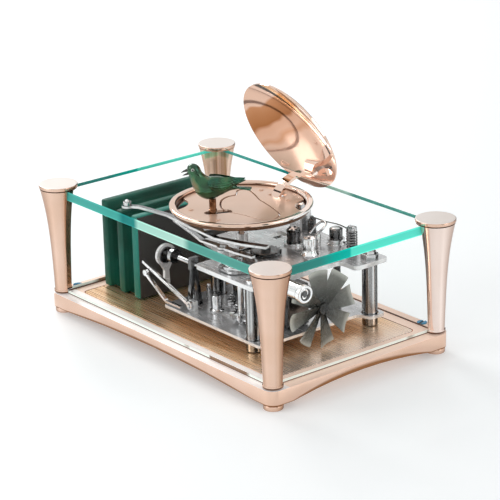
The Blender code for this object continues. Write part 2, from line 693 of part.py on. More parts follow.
def rounded_slot(start, end, half_width, steps=8):
    """A slot with round ends that runs across the fold axis."""
    outline = []
    for centre, first in ((end, 0.0), (start, math.pi)):
        for step in range(steps + 1):
            angle = first + math.pi * step / steps
            along = half_width * math.cos(angle)
            across = centre + half_width * math.sin(angle)
            spot = fold_point(along, across, 0.0)
            outline.append((spot.x, spot.y))
    return outline


def make_flap():
    """The trap's flap with the stem that guides it down."""
    top = STAGE_BOTTOM_Z + FLAP_THICKNESS
    origin = fold_point(FLAP_STEM_ALONG, FLAP_STEM_ACROSS, STAGE_BOTTOM_Z)
    mesh = sheet_mesh(trap_outline(OUTLINE_GAP), STAGE_BOTTOM_Z, top)
    flap = place("stage_flap", mesh, ROSE_GOLD, origin)
    slot = rounded_slot(POST_SLOT_START, TUBE_RADIUS + 3.2 * MM, POST_SLOT_HALF_WIDTH + OUTLINE_GAP)
    cut(flap, sheet_mesh(slot, STAGE_BOTTOM_Z - GAP, top + GAP))
    stem_end = origin - Vector((0.0, 0.0, FLAP_STEM_LENGTH))
    stem_start = origin + Vector((0.0, 0.0, 0.5 * FLAP_THICKNESS))
    add(flap, rod_mesh(stem_end, stem_start, FLAP_STEM_RADIUS, 16))


def make_pivot_bracket():
    """A stirrup under the stage whose two lugs hold the carriage's trunnions."""
    top = STAGE_BOTTOM_Z - GAP
    inner = CARRIAGE_RADIUS + LUG_GAP
    outer = inner + LUG_THICKNESS
    low = FOLD_AXIS_Z - TRUNNION_RADIUS - RUNNING_GAP - 0.7 * MM
    corners = (
        (-outer, -4.0 * MM), (outer, -4.0 * MM), (outer, 1.8 * MM), (inner, 1.8 * MM),
        (inner, -2.8 * MM), (-inner, -2.8 * MM), (-inner, 1.8 * MM), (-outer, 1.8 * MM),
    )
    outline = []
    for along, across in corners:
        spot = fold_point(along, across, 0.0)
        outline.append((spot.x, spot.y))
    bracket = place("pivot_bracket", sheet_mesh(outline, low, top), NICKEL)
    start = fold_point(-2.0 * outer, 0.0, FOLD_AXIS_Z)
    end = fold_point(2.0 * outer, 0.0, FOLD_AXIS_Z)
    cut(bracket, rod_mesh(start, end, TRUNNION_RADIUS + RUNNING_GAP, 20))


def make_carriage():
    """The folding sleeve with its trunnions, which carries the bird's tube."""
    axis = fold_point(0.0, 0.0, FOLD_AXIS_Z)
    low = FOLD_AXIS_Z - CARRIAGE_BELOW_AXIS
    high = FOLD_AXIS_Z + CARRIAGE_ABOVE_AXIS
    sleeve = rod_mesh((BIRD_X, BIRD_Y, low), (BIRD_X, BIRD_Y, high), CARRIAGE_RADIUS, 24)
    carriage = place("bird_carriage", sleeve, NICKEL, axis)
    reach = CARRIAGE_RADIUS + LUG_GAP + LUG_THICKNESS + 0.3 * MM
    ends = (fold_point(-reach, 0.0, FOLD_AXIS_Z), fold_point(reach, 0.0, FOLD_AXIS_Z))
    add(carriage, rod_mesh(*ends, TRUNNION_RADIUS, 16))
    bore = TUBE_JOURNAL_RADIUS + 0.25 * MM
    cut(carriage, rod_mesh((BIRD_X, BIRD_Y, low - GAP), (BIRD_X, BIRD_Y, high + GAP), bore, 20))


def make_bird_tube():
    """The gold tube that holds the bird over the stage, with a thinner journal in the carriage."""
    collar = FOLD_AXIS_Z + CARRIAGE_ABOVE_AXIS + GAP
    bottom = FOLD_AXIS_Z - CARRIAGE_BELOW_AXIS - 0.1 * MM
    mesh = turned_mesh((
        (0.0, TUBE_TOP_Z), (TUBE_RADIUS, TUBE_TOP_Z), (TUBE_RADIUS, collar),
        (TUBE_JOURNAL_RADIUS, collar), (TUBE_JOURNAL_RADIUS, bottom), (0.0, bottom),
    ), 20)
    mesh.transform(Matrix.Translation(POST))
    smooth(mesh)
    place("bird_tube", mesh, ROSE_GOLD, (BIRD_X, BIRD_Y, FOLD_AXIS_Z))


# Bird, drawn facing +X over its post and then turned to its heading
BIRD_SECTIONS = (
    (-9.4, 55.5, 0.8, 1.1, 8.0), (-6.8, 55.1, 1.9, 2.2, 10.0), (-3.2, 54.3, 3.2, 3.1, 8.0),
    (0.6, 53.9, 4.0, 3.5, -6.0), (3.4, 55.0, 3.7, 3.3, -34.0), (4.9, 57.0, 2.8, 2.7, -60.0),
    (5.9, 59.2, 2.0, 2.0, -72.0),
)
BIRD_SECTION_SIDES = 12
HEAD_CENTRE = (6.2, 59.6)
HEAD_RADIUS = 2.5 * MM
BEAK_BASE_X = 8.0
BEAK_BASE_Z = 59.6
BEAK_TIP_X = 10.4
BEAK_TIP_Z = 59.3
BEAK_RADIUS = 0.75 * MM
LOWER_BEAK_BASE = (8.8, 58.05)
LOWER_BEAK_TIP = (10.2, 58.15)
WING_OUTLINE = (
    (2.2, 56.6), (1.4, 57.9), (-2.0, 58.3), (-6.0, 57.9),
    (-10.3, 57.3), (-6.6, 55.9), (-2.4, 54.3), (1.0, 54.2),
)
WING_ROOT_Y = 3.75
WING_SLANT = 6.5
TAIL_OUTLINE = ((-9.9, 0.8), (-12.6, 1.5), (-13.3, 0.9), (-13.3, -0.9), (-12.6, -1.5), (-9.9, -0.8))
TAIL_THICKNESS = 0.7 * MM
TAIL_Z = 54.9
TAIL_DROOP = 8.0


def bird_space():
    """The matrix that turns the bird to its heading and stands it on its post."""
    return Matrix.Translation(POST) @ Matrix.Rotation(math.radians(BIRD_HEADING), 4, "Z")


def make_bird_body():
    """Body and neck lofted through tilted oval sections, with the head and upper beak fused on."""
    bm = bmesh.new()
    rings = []
    for x, z, half_height, half_width, tilt in BIRD_SECTIONS:
        lean = math.radians(tilt)
        ring = []
        for side in range(BIRD_SECTION_SIDES):
            angle = 2.0 * math.pi * side / BIRD_SECTION_SIDES
            rise = half_height * math.cos(angle)
            spot = (x + rise * math.sin(lean), half_width * math.sin(angle), z + rise * math.cos(lean))
            ring.append(bm.verts.new(Vector(spot) * MM))
        rings.append(ring)
    for first, second in zip(rings, rings[1:]):
        for side in range(BIRD_SECTION_SIDES):
            after = (side + 1) % BIRD_SECTION_SIDES
            bm.faces.new((first[side], first[after], second[after], second[side]))
    bm.faces.new(rings[0])
    bm.faces.new(rings[-1])
    body_mesh = mesh_from(bm, "bird_body")
    space = bird_space()
    body_mesh.transform(space)
    smooth(body_mesh)
    body = place("bird_body", body_mesh, ENAMEL, (BIRD_X, BIRD_Y, TUBE_TOP_Z))
    surface = body.modifiers.new("surface", "SUBSURF")
    surface.levels = 1
    surface.render_levels = 1
    bm = bmesh.new()
    bmesh.ops.create_uvsphere(bm, u_segments=16, v_segments=10, radius=HEAD_RADIUS)
    head = mesh_from(bm, "head")
    head.transform(space @ Matrix.Translation((HEAD_CENTRE[0] * MM, 0.0, HEAD_CENTRE[1] * MM)))
    add(body, head)
    base = (BEAK_BASE_X * MM, 0.0, BEAK_BASE_Z * MM)
    tip = (BEAK_TIP_X * MM, 0.0, BEAK_TIP_Z * MM)
    beak = rod_mesh(base, tip, BEAK_RADIUS, 12, 0.12 * MM)
    beak.transform(space)
    add(body, beak)
    low = (BIRD_X, BIRD_Y, TUBE_TOP_Z - 2.0 * MM)
    high = (BIRD_X, BIRD_Y, TUBE_TOP_Z + GAP)
    cut(body, rod_mesh(low, high, TUBE_RADIUS + RUNNING_GAP, 24))


def make_wings():
    """Two thin wings that lie along the body and hinge at their upper edges."""
    for name, side in (("wing_left", 1.0), ("wing_right", -1.0)):
        outline = round_corners(to_metres(WING_OUTLINE), 0.8 * MM, 2)
        mesh = sheet_mesh(outline, 0.0, WING_THICKNESS)
        bm = bmesh.new()
        bm.from_mesh(mesh)
        for vertex in bm.verts:
            vertex.co = Vector((vertex.co.x, side * (WING_ROOT_Y * MM + vertex.co.z), vertex.co.y))
        bm.normal_update()
        bmesh.ops.recalc_face_normals(bm, faces=bm.faces[:])
        bm.to_mesh(mesh)
        bm.free()
        root = Vector((2.0 * MM, 0.0, 0.0))
        turn = Matrix.Rotation(side * math.radians(WING_SLANT), 4, "Z")
        mesh.transform(bird_space() @ Matrix.Translation(root) @ turn @ Matrix.Translation(-root))
        hinge = bird_space() @ Vector((0.0, side * WING_ROOT_Y * MM, 57.6 * MM))
        place(name, mesh, ENAMEL, hinge)


def make_beak_and_tail():
    """The lower beak and the tail, each a small moving piece."""
    base = Vector((LOWER_BEAK_BASE[0] * MM, 0.0, LOWER_BEAK_BASE[1] * MM))
    tip = Vector((LOWER_BEAK_TIP[0] * MM, 0.0, LOWER_BEAK_TIP[1] * MM))
    beak = rod_mesh(base, tip, 0.5 * MM, 10, 0.12 * MM)
    beak.transform(bird_space())
    place("lower_beak", beak, HORN, bird_space() @ base)
    mesh = sheet_mesh(to_metres(TAIL_OUTLINE), -0.5 * TAIL_THICKNESS, 0.5 * TAIL_THICKNESS)
    hinge = Vector((TAIL_OUTLINE[0][0] * MM, 0.0, 0.0))
    droop = Matrix.Rotation(-math.radians(TAIL_DROOP), 4, "Y")
    lift = Matrix.Translation((0.0, 0.0, TAIL_Z * MM))
    mesh.transform(bird_space() @ lift @ Matrix.Translation(hinge) @ droop @ Matrix.Translation(-hinge))
    place("tail", mesh, ENAMEL, bird_space() @ lift @ hinge)


# Lid


def lid_height(radius):
    """Height of the lid's inner face over its rim, a shallow dome."""
    return LID_DOME_HEIGHT * (1.0 - (radius / LID_RADIUS) ** 2)


def opened(mesh):
    """Swing a mesh that is drawn for the shut lid to the open pose."""
    hinge = Matrix.Translation((0.0, LID_HINGE_Y, LID_HINGE_Z))
    swing = Matrix.Rotation(-math.radians(LID_OPEN_ANGLE), 4, "X")
    mesh.transform(hinge @ swing @ hinge.inverted())
    return mesh


def make_lid():
    """The domed lid, drawn shut over the stage and then swung open."""
    rings = 5
    profile = []
    for step in range(rings + 1):
        radius = LID_RADIUS * step / rings
        profile.append((radius, LID_RIM_Z + lid_height(radius) + LID_WALL))
    for step in range(rings, -1, -1):
        radius = LID_RADIUS * step / rings
        profile.append((radius, LID_RIM_Z + lid_height(radius)))
    mesh = opened(turned_mesh(profile, 48))
    smooth(mesh)
    place("lid", mesh, ROSE_GOLD, (0.0, LID_HINGE_Y, LID_HINGE_Z))


def yz_sheet(points, width):
    """An outline of (y, z) points given a width along X."""
    mesh = sheet_mesh(points, -0.5 * width, 0.5 * width)
    mesh.transform(Matrix(((0, 0, 1, 0), (1, 0, 0, 0), (0, 1, 0, 0), (0, 0, 0, 1))))
    return mesh


def make_lid_arm():
    """The arm: an arc about the hinge that slides through the stage, a spoke and a pinned hub."""
    outer = LID_ARM_RADIUS + 0.5 * LID_ARM_THICKNESS
    inner = LID_ARM_RADIUS - 0.5 * LID_ARM_THICKNESS
    angles = np.radians(np.linspace(LID_ARM_START_ANGLE, LID_ARM_END_ANGLE, 13))
    outline = [(LID_HINGE_Y + outer * math.cos(a), LID_HINGE_Z + outer * math.sin(a)) for a in angles]
    outline += [(LID_HINGE_Y + inner * math.cos(a), LID_HINGE_Z + inner * math.sin(a)) for a in angles[::-1]]
    hinge = (0.0, LID_HINGE_Y, LID_HINGE_Z)
    arm = place("lid_arm", yz_sheet(outline, LID_ARM_WIDTH), ROSE_GOLD, hinge)
    end = math.radians(LID_ARM_END_ANGLE - 3.0)
    spoke = [
        (0.0, -0.6 * MM), (inner + 0.3 * MM, -0.6 * MM), (inner + 0.3 * MM, 0.6 * MM), (0.0, 0.6 * MM)
    ]
    turned = []
    for run, rise in spoke:
        y = LID_HINGE_Y + run * math.cos(end) - rise * math.sin(end)
        z = LID_HINGE_Z + run * math.sin(end) + rise * math.cos(end)
        turned.append((y, z))
    add(arm, yz_sheet(turned, LID_ARM_WIDTH - 0.6 * MM))
    half = 0.5 * LID_ARM_WIDTH
    add(arm, rod_mesh((-half, hinge[1], hinge[2]), (half, hinge[1], hinge[2]), LID_HUB_RADIUS, 24))
    reach = half + RUNNING_GAP + LUG_THICKNESS + 0.4 * MM
    add(arm, rod_mesh((-reach, hinge[1], hinge[2]), (reach, hinge[1], hinge[2]), LID_PIN_RADIUS, 16))


def make_hinge_bracket():
    """The forked bracket on the upper plate that holds the lid's pin."""
    half = 0.5 * LID_ARM_WIDTH + RUNNING_GAP
    outer = half + LUG_THICKNESS
    low = UPPER_PLATE_TOP_Z + GAP
    base = block_mesh(
        (-outer, LID_HINGE_Y - 2.0 * MM, low), (outer, LID_HINGE_Y + 2.4 * MM, LID_HINGE_Z + 1.9 * MM)
    )
    bracket = place("lid_hinge_bracket", base, NICKEL)
    reach = 5.0 * MM
    slot_low = (-half, LID_HINGE_Y - reach, low + BRACKET_FLOOR)
    cut(bracket, block_mesh(slot_low, (half, LID_HINGE_Y + reach, LID_HINGE_Z + reach)))
    bore = LID_PIN_RADIUS + RUNNING_GAP
    cut(bracket, rod_mesh((-0.01, LID_HINGE_Y, LID_HINGE_Z), (0.01, LID_HINGE_Y, LID_HINGE_Z), bore, 20))


# Movement plates


def make_plates_and_posts():
    """The two plates and the four posts that pass through the lower one and carry the upper one."""
    outline = round_corners(to_metres(LOWER_PLATE_OUTLINE), PLATE_CORNER)
    lower = place("lower_plate", sheet_mesh(outline, LOWER_PLATE_Z, LOWER_PLATE_TOP_Z), NICKEL)
    rest = to_metres(UPPER_PLATE_REST)
    near_whistle = [(UPPER_PLATE_EDGE_X, rest[-1][1]), (UPPER_PLATE_EDGE_X, rest[0][1])]
    outline = round_corners([rest[-1], *near_whistle, *rest[:-1]], PLATE_CORNER)
    upper = place("upper_plate", sheet_mesh(outline, UPPER_PLATE_Z, UPPER_PLATE_TOP_Z), NICKEL)
    for number, (x, y) in enumerate(to_metres(POST_PLACES), 1):
        low = (x, y, PLATE_TOP_Z + GAP)
        high = (x, y, UPPER_PLATE_Z - GAP)
        mesh = rod_mesh(low, high, POST_RADIUS, 24)
        smooth(mesh)
        place("movement_post_%d" % number, mesh, STEEL)
        cut(lower, rod_mesh(low, high, POST_RADIUS + GAP, 24))
    cut(lower, rod_mesh((BARREL_X, BARREL_Y, 0.0), (BARREL_X, BARREL_Y, LOWER_PLATE_TOP_Z + GAP),
                        BARREL_ARBOR_RADIUS + GAP, 24))
    cut(lower, rod_mesh((PINION_X, PINION_Y, 0.0), (PINION_X, PINION_Y, LOWER_PLATE_TOP_Z + GAP),
                        CAM_ARBOR_RADIUS + GAP, 20))
    stud_places = [(x, y, STUD_RADIUS, STUD_HEIGHT) for x, y in to_metres(SPRING_STUD_PLACES)]
    for x, y, radius, height in stud_places:
        start = (x, y, LOWER_PLATE_Z + 0.5 * LOWER_PLATE_THICKNESS)
        add(lower, rod_mesh(start, (x, y, LOWER_PLATE_TOP_Z + height), radius, 16))
    add_lever_support(lower)
    finish_upper_plate(upper)


def finish_upper_plate(upper):
    """Holes for the arbors, the arm's window, the flap's guide and the studs on the upper plate."""
    mid = UPPER_PLATE_Z + 0.5 * UPPER_PLATE_THICKNESS
    over = UPPER_PLATE_TOP_Z + GAP
    for x, y, radius in (
        (BARREL_X, BARREL_Y, BARREL_ARBOR_RADIUS), (PINION_X, PINION_Y, CAM_ARBOR_RADIUS)
    ):
        cut(upper, rod_mesh((x, y, UPPER_PLATE_Z - GAP), (x, y, over), radius + GAP, 20))
    half = 0.5 * ARM_WINDOW_LENGTH
    cut(upper, block_mesh(
        (-ARM_WINDOW_HALF_WIDTH, ARM_WINDOW_Y - half, UPPER_PLATE_Z - GAP),
        (ARM_WINDOW_HALF_WIDTH, ARM_WINDOW_Y + half, over),
    ))
    stem = fold_point(FLAP_STEM_ALONG, FLAP_STEM_ACROSS, 0.0)
    guide_top = UPPER_PLATE_TOP_Z + GUIDE_HEIGHT
    add(upper, rod_mesh((stem.x, stem.y, mid), (stem.x, stem.y, guide_top), GUIDE_RADIUS, 20))
    cut(upper, rod_mesh((stem.x, stem.y, UPPER_PLATE_Z - GAP), (stem.x, stem.y, guide_top + GAP),
                        FLAP_STEM_RADIUS + GAP, 16))
    pivot_x, pivot_y = SHORT_LEVER_ROUTE[0][0] * MM, SHORT_LEVER_ROUTE[0][1] * MM
    stud_top = SHORT_LEVER_Z + LEVER_THICKNESS + 0.5 * MM
    shoulder = SHORT_LEVER_Z - GAP
    add(upper, rod_mesh((pivot_x, pivot_y, mid), (pivot_x, pivot_y, shoulder), LEVER_EYE_RADIUS, 20))
    add(upper, rod_mesh((pivot_x, pivot_y, mid), (pivot_x, pivot_y, stud_top), LEVER_STUD_RADIUS, 16))
    for x, y, radius, height in TALL_STUDS:
        foot = (x * MM, y * MM, mid)
        add(upper, rod_mesh(foot, (x * MM, y * MM, UPPER_PLATE_TOP_Z + height * MM), radius * MM, 24))
    coil_top = UPPER_PLATE_TOP_Z + GAP + COIL_PITCH * (COIL_TURNS + 1) + GAP
    spot = (RETURN_SPRING_X, RETURN_SPRING_Y)
    add(upper, rod_mesh((*spot, mid), (*spot, coil_top + 0.3 * MM), COIL_STUD_RADIUS, 16))
    add(upper, rod_mesh((*spot, coil_top), (*spot, coil_top + 0.9 * MM), COIL_RADIUS + 0.2 * MM, 20))


# Bellows


def board(name, x, thickness, top, finish, origin):
    """One upright bellows board with rounded edges."""
    mesh = block_mesh((x, BELLOWS_FRONT_Y, BELLOWS_BOTTOM_Z), (x + thickness, BELLOWS_BACK_Y, top))
    made = place(name, mesh, finish, origin)
    bevel(made, BOARD_EDGE)
    return made


def folds(name, low_x, high_x, top):
    """The leather between two boards: oblong sections drawn in by turns at each crease."""
    bm = bmesh.new()
    rings = []
    count = len(FOLD_DEPTHS) - 1
    for index, depth in enumerate(FOLD_DEPTHS):
        x = low_x + (high_x - low_x) * index / count
        front = BELLOWS_FRONT_Y + depth * MM
        back = BELLOWS_BACK_Y - depth * MM
        low = BELLOWS_BOTTOM_Z + 0.6 * depth * MM
        high = top - depth * MM
        corners = ((front, low), (back, low), (back, high), (front, high))
        rings.append([bm.verts.new((x, y, z)) for y, z in corners])
    for first, second in zip(rings, rings[1:]):
        for side in range(4):
            after = (side + 1) % 4
            bm.faces.new((first[side], first[after], second[after], second[side]))
    bm.faces.new(rings[0])
    bm.faces.new(rings[-1])
    place(name, mesh_from(bm, name), GREEN_LEATHER)


def make_bellows():
    """Two bellows on a middle wind board, one to feed and one to store."""
    hinge_y = BELLOWS_BACK_Y - BOARD_EDGE
    middle_z = 0.5 * (BELLOWS_BOTTOM_Z + BELLOWS_TOP_Z)
    board("reservoir_board", RESERVOIR_BOARD_X, RESERVOIR_BOARD_THICKNESS, BELLOWS_TOP_Z, GREEN_LEATHER,
          (RESERVOIR_BOARD_X + RESERVOIR_BOARD_THICKNESS, hinge_y, middle_z))
    wind = board("wind_board", WIND_BOARD_X, WIND_BOARD_THICKNESS, WIND_BOARD_TOP_Z, GREEN_LEATHER,
                 (WIND_BOARD_X, hinge_y, middle_z))
    board("feeder_board", FEEDER_BOARD_X, FEEDER_BOARD_THICKNESS, WIND_BOARD_TOP_Z, GREY_BOARD,
          (FEEDER_BOARD_X, hinge_y, middle_z))
    folds("reservoir_folds", RESERVOIR_BOARD_X + RESERVOIR_BOARD_THICKNESS + GAP, WIND_BOARD_X - GAP,
          WIND_BOARD_TOP_Z)
    folds("feeder_folds", WIND_BOARD_X + WIND_BOARD_THICKNESS + GAP, FEEDER_BOARD_X - GAP, WIND_BOARD_TOP_Z)
    x, y = LONG_LEVER_ROUTE[0][0] * MM, LONG_LEVER_ROUTE[0][1] * MM
    top = LONG_LEVER_Z + LEVER_THICKNESS + 0.6 * MM
    add(wind, rod_mesh((x, y, WIND_BOARD_TOP_Z - 2.0 * MM), (x, y, top), LEVER_STUD_RADIUS, 16))


# Drive train


def gear_outline(teeth, radius_of_pitch, module, phase=0.0):
    """Tapered teeth about the origin, with a tooth centred on the phase angle."""
    outline = []
    pitch = 2.0 * math.pi / teeth
    tip = radius_of_pitch + 0.85 * module
    root = radius_of_pitch - 1.2 * module
    for tooth in range(teeth):
        middle = phase + tooth * pitch
        for radius, share in ((root, -0.31), (tip, -0.10), (tip, 0.10), (root, 0.31)):
            angle = middle + share * pitch
            outline.append((radius * math.cos(angle), radius * math.sin(angle)))
    return outline


def ratchet_outline(teeth, radius, depth):
    """Saw teeth about the origin."""
    outline = []
    pitch = 2.0 * math.pi / teeth
    for tooth in range(teeth):
        for share, reach in ((0.0, radius), (0.08, radius - depth)):
            angle = (tooth + share) * pitch
            outline.append((reach * math.cos(angle), reach * math.sin(angle)))
    return outline


def cam_outline(radius, lifts, height):
    """A song cam: a disc whose edge rises and falls in even waves."""
    outline = []
    for step in range(36):
        angle = 2.0 * math.pi * step / 36
        reach = radius - 0.5 * height * (1.0 - math.cos(lifts * angle))
        outline.append((reach * math.cos(angle), reach * math.sin(angle)))
    return outline


def shifted(mesh, x, y):
    """Move a mesh in the plane."""
    mesh.transform(Matrix.Translation((x, y, 0.0)))
    return mesh


def make_barrel():
    """The spring barrel with its great wheel, and the arbor that winds it."""
    phase = math.radians(PINION_ANGLE)
    teeth = gear_outline(GREAT_WHEEL_TEETH, GREAT_WHEEL_RADIUS, GEAR_MODULE, phase)
    wheel = sheet_mesh(teeth, GREAT_WHEEL_Z, GREAT_WHEEL_Z + GREAT_WHEEL_THICKNESS)
    axis = (BARREL_X, BARREL_Y, GREAT_WHEEL_Z)
    barrel = place("spring_barrel", shifted(wheel, BARREL_X, BARREL_Y), STEEL, axis)
    top = BARREL_BOTTOM_Z + BARREL_HEIGHT
    edge = 0.5 * MM
    drum = turned_mesh((
        (0.0, top), (BARREL_RADIUS - 1.8 * MM, top), (BARREL_RADIUS - 1.8 * MM, top - edge),
        (BARREL_RADIUS - edge, top - edge), (BARREL_RADIUS, top - 2.0 * edge),
        (BARREL_RADIUS, BARREL_BOTTOM_Z + edge),
        (BARREL_RADIUS - edge, BARREL_BOTTOM_Z), (0.0, BARREL_BOTTOM_Z),
    ), 40)
    add(barrel, shifted(drum, BARREL_X, BARREL_Y))
    bore = BARREL_ARBOR_RADIUS + RUNNING_GAP
    cut(barrel, rod_mesh((BARREL_X, BARREL_Y, 0.0), (BARREL_X, BARREL_Y, 2.0 * top), bore, 24))
    low = (BARREL_X, BARREL_Y, LOWER_PLATE_Z - 1.4 * MM)
    high = (BARREL_X, BARREL_Y, UPPER_PLATE_TOP_Z + 2.4 * MM)
    rod = rod_mesh(low, high, BARREL_ARBOR_RADIUS, 24)
    arbor = place("winding_arbor", rod, STEEL, (BARREL_X, BARREL_Y, UPPER_PLATE_TOP_Z))
    base = UPPER_PLATE_TOP_Z + GAP
    saw = sheet_mesh(ratchet_outline(RATCHET_TEETH, RATCHET_RADIUS, 0.9 * MM), base, base + 1.1 * MM)
    add(arbor, shifted(saw, BARREL_X, BARREL_Y))


def make_click():
    """The pawl that lies in the ratchet's teeth, and stops the arbor."""
    base = UPPER_PLATE_TOP_Z + GAP
    tip_x = BARREL_X - RATCHET_RADIUS - 0.35 * MM
    heel_x = tip_x - 3.4 * MM
    y = BARREL_Y - 5.0 * MM
    corners = (
        (tip_x, BARREL_Y + 0.4 * MM), (heel_x, y - 1.4 * MM), (heel_x + 2.8 * MM, y - 1.4 * MM),
        (tip_x + 0.05 * MM, BARREL_Y - 0.5 * MM),
    )
    mesh = sheet_mesh(corners, base, base + 1.1 * MM)
    place("ratchet_click", mesh, STEEL, (heel_x + 1.4 * MM, y, base))


def make_cam_stack():
    """The cam arbor: a pinion in mesh with the great wheel and three song cams over the upper plate."""
    low = (PINION_X, PINION_Y, LOWER_PLATE_Z - 0.6 * MM)
    cams_z = UPPER_PLATE_TOP_Z + GAP
    high_z = cams_z + len(CAM_RADII) * CAM_THICKNESS + 0.9 * MM
    arbor = place("cam_stack", rod_mesh(low, (PINION_X, PINION_Y, high_z), CAM_ARBOR_RADIUS, 20), STEEL,
                  (PINION_X, PINION_Y, GREAT_WHEEL_Z))
    half_pitch = math.pi / PINION_TEETH
    phase = math.radians(PINION_ANGLE) + math.pi + half_pitch
    teeth = gear_outline(PINION_TEETH, PINION_RADIUS, GEAR_MODULE, phase)
    pinion = sheet_mesh(teeth, GREAT_WHEEL_Z - 0.6 * MM, GREAT_WHEEL_Z + GREAT_WHEEL_THICKNESS + 0.6 * MM)
    add(arbor, shifted(pinion, PINION_X, PINION_Y))
    for index, (radius, lifts) in enumerate(zip(CAM_RADII, CAM_LIFTS)):
        base = cams_z + index * CAM_THICKNESS
        overlap = 0.1 * MM if index else 0.0
        outline = cam_outline(radius * MM, lifts, CAM_LIFT_HEIGHT)
        cam = sheet_mesh(outline, base - overlap, base + CAM_THICKNESS)
        add(arbor, shifted(cam, PINION_X, PINION_Y))


def make_eccentric():
    """The cross shaft with its eccentric and small wheel, the strap on it, and the shaft's bridge."""
    start_x = ECCENTRIC_X - 0.5 * STRAP_THICKNESS - 0.9 * MM
    centre_y = ECCENTRIC_Y
    rod = rod_mesh((start_x, centre_y, ECCENTRIC_Z), (ECCENTRIC_SHAFT_END_X, centre_y, ECCENTRIC_Z),
                   ECCENTRIC_SHAFT_RADIUS, 20)
    shaft = place("eccentric_shaft", rod, STEEL, (ECCENTRIC_X, centre_y, ECCENTRIC_Z))
    half = 0.5 * STRAP_THICKNESS + 0.3 * MM
    disc_z = ECCENTRIC_Z - ECCENTRIC_THROW
    add(shaft, rod_mesh((ECCENTRIC_X - half, centre_y, disc_z), (ECCENTRIC_X + half, centre_y, disc_z),
                        ECCENTRIC_RADIUS, 32))
    wheel_x = ECCENTRIC_X + 4.4 * MM
    add(shaft, rod_mesh((wheel_x, centre_y, ECCENTRIC_Z), (wheel_x + 1.6 * MM, centre_y, ECCENTRIC_Z),
                        SMALL_WHEEL_RADIUS, 24))
    bore = ECCENTRIC_RADIUS + RUNNING_GAP
    half = 0.5 * STRAP_THICKNESS
    ring = rod_mesh((ECCENTRIC_X - half, centre_y, disc_z), (ECCENTRIC_X + half, centre_y, disc_z),
                    bore + STRAP_WIDTH, 32)
    strap = place("eccentric_strap", ring, STEEL, (ECCENTRIC_X, centre_y, disc_z))
    top = disc_z - bore
    bottom = disc_z - bore - STRAP_WIDTH - STRAP_TAIL_LENGTH
    tail = yz_sheet((
        (centre_y - 2.4 * MM, top), (centre_y - 0.9 * MM, top - STRAP_TAIL_NECK),
        (centre_y - 1.2 * MM, bottom), (centre_y + 1.2 * MM, bottom),
        (centre_y + 0.9 * MM, top - STRAP_TAIL_NECK), (centre_y + 2.4 * MM, top),
    ), STRAP_THICKNESS)
    tail.transform(Matrix.Translation((ECCENTRIC_X, 0.0, 0.0)))
    add(strap, tail)
    reach = 2.0 * STRAP_THICKNESS
    ends = ((ECCENTRIC_X - reach, centre_y, disc_z), (ECCENTRIC_X + reach, centre_y, disc_z))
    cut(strap, rod_mesh(*ends, bore, 32))
    eye = bottom + 3.0 * STRAP_EYE_RADIUS
    cut(strap, rod_mesh((ECCENTRIC_X - reach, centre_y, eye), (ECCENTRIC_X + reach, centre_y, eye),
                        STRAP_EYE_RADIUS, 12))
    low = LOWER_PLATE_TOP_Z + GAP
    bridge = place("shaft_bridge", block_mesh(
        (BRIDGE_X, centre_y - 0.5 * BRIDGE_WIDTH, low),
        (BRIDGE_X + BRIDGE_THICKNESS, centre_y + 0.5 * BRIDGE_WIDTH, ECCENTRIC_Z + 2.6 * MM)), NICKEL)
    bevel(bridge, 0.25 * MM, 1)
    past = BRIDGE_X + 2.0 * BRIDGE_THICKNESS
    ends = ((BRIDGE_X - reach, centre_y, ECCENTRIC_Z), (past, centre_y, ECCENTRIC_Z))
    cut(bridge, rod_mesh(*ends, ECCENTRIC_SHAFT_RADIUS + RUNNING_GAP, 20))


# Fan


def blade_mesh(turn):
    """One twisted blade: stations from hub to tip, each a slim oblong at its own chord and pitch."""
    stations = 5
    start = 0.5 * FAN_HUB_RADIUS
    bm = bmesh.new()
    rings = []
    for index in range(stations):
        share = index / (stations - 1)
        radius = start + (FAN_RADIUS - start) * share
        chord = FAN_ROOT_CHORD + (FAN_TIP_CHORD - FAN_ROOT_CHORD) * share ** 0.8
        pitch = math.radians(FAN_ROOT_PITCH + (FAN_TIP_PITCH - FAN_ROOT_PITCH) * share)
        chord_line = Vector((math.sin(pitch), math.cos(pitch), 0.0))
        normal = Vector((math.cos(pitch), -math.sin(pitch), 0.0))
        level = Vector((0.0, 0.0, math.sqrt(max(radius ** 2 - (0.5 * chord * chord_line.y) ** 2, 0.0))))
        ring = []
        for along, off in ((-0.5, -0.5), (0.5, -0.5), (0.5, 0.5), (-0.5, 0.5)):
            spot = level + along * chord * chord_line + off * FAN_BLADE_THICKNESS * normal
            ring.append(bm.verts.new(spot))
        rings.append(ring)
    for first, second in zip(rings, rings[1:]):
        for side in range(4):
            after = (side + 1) % 4
            bm.faces.new((first[side], first[after], second[after], second[side]))
    bm.faces.new(rings[0])
    bm.faces.new(rings[-1])
    mesh = mesh_from(bm, "blade")
    mesh.transform(Matrix.Translation((FAN_X, FAN_Y, FAN_Z)) @ Matrix.Rotation(turn, 4, "X"))
    return mesh


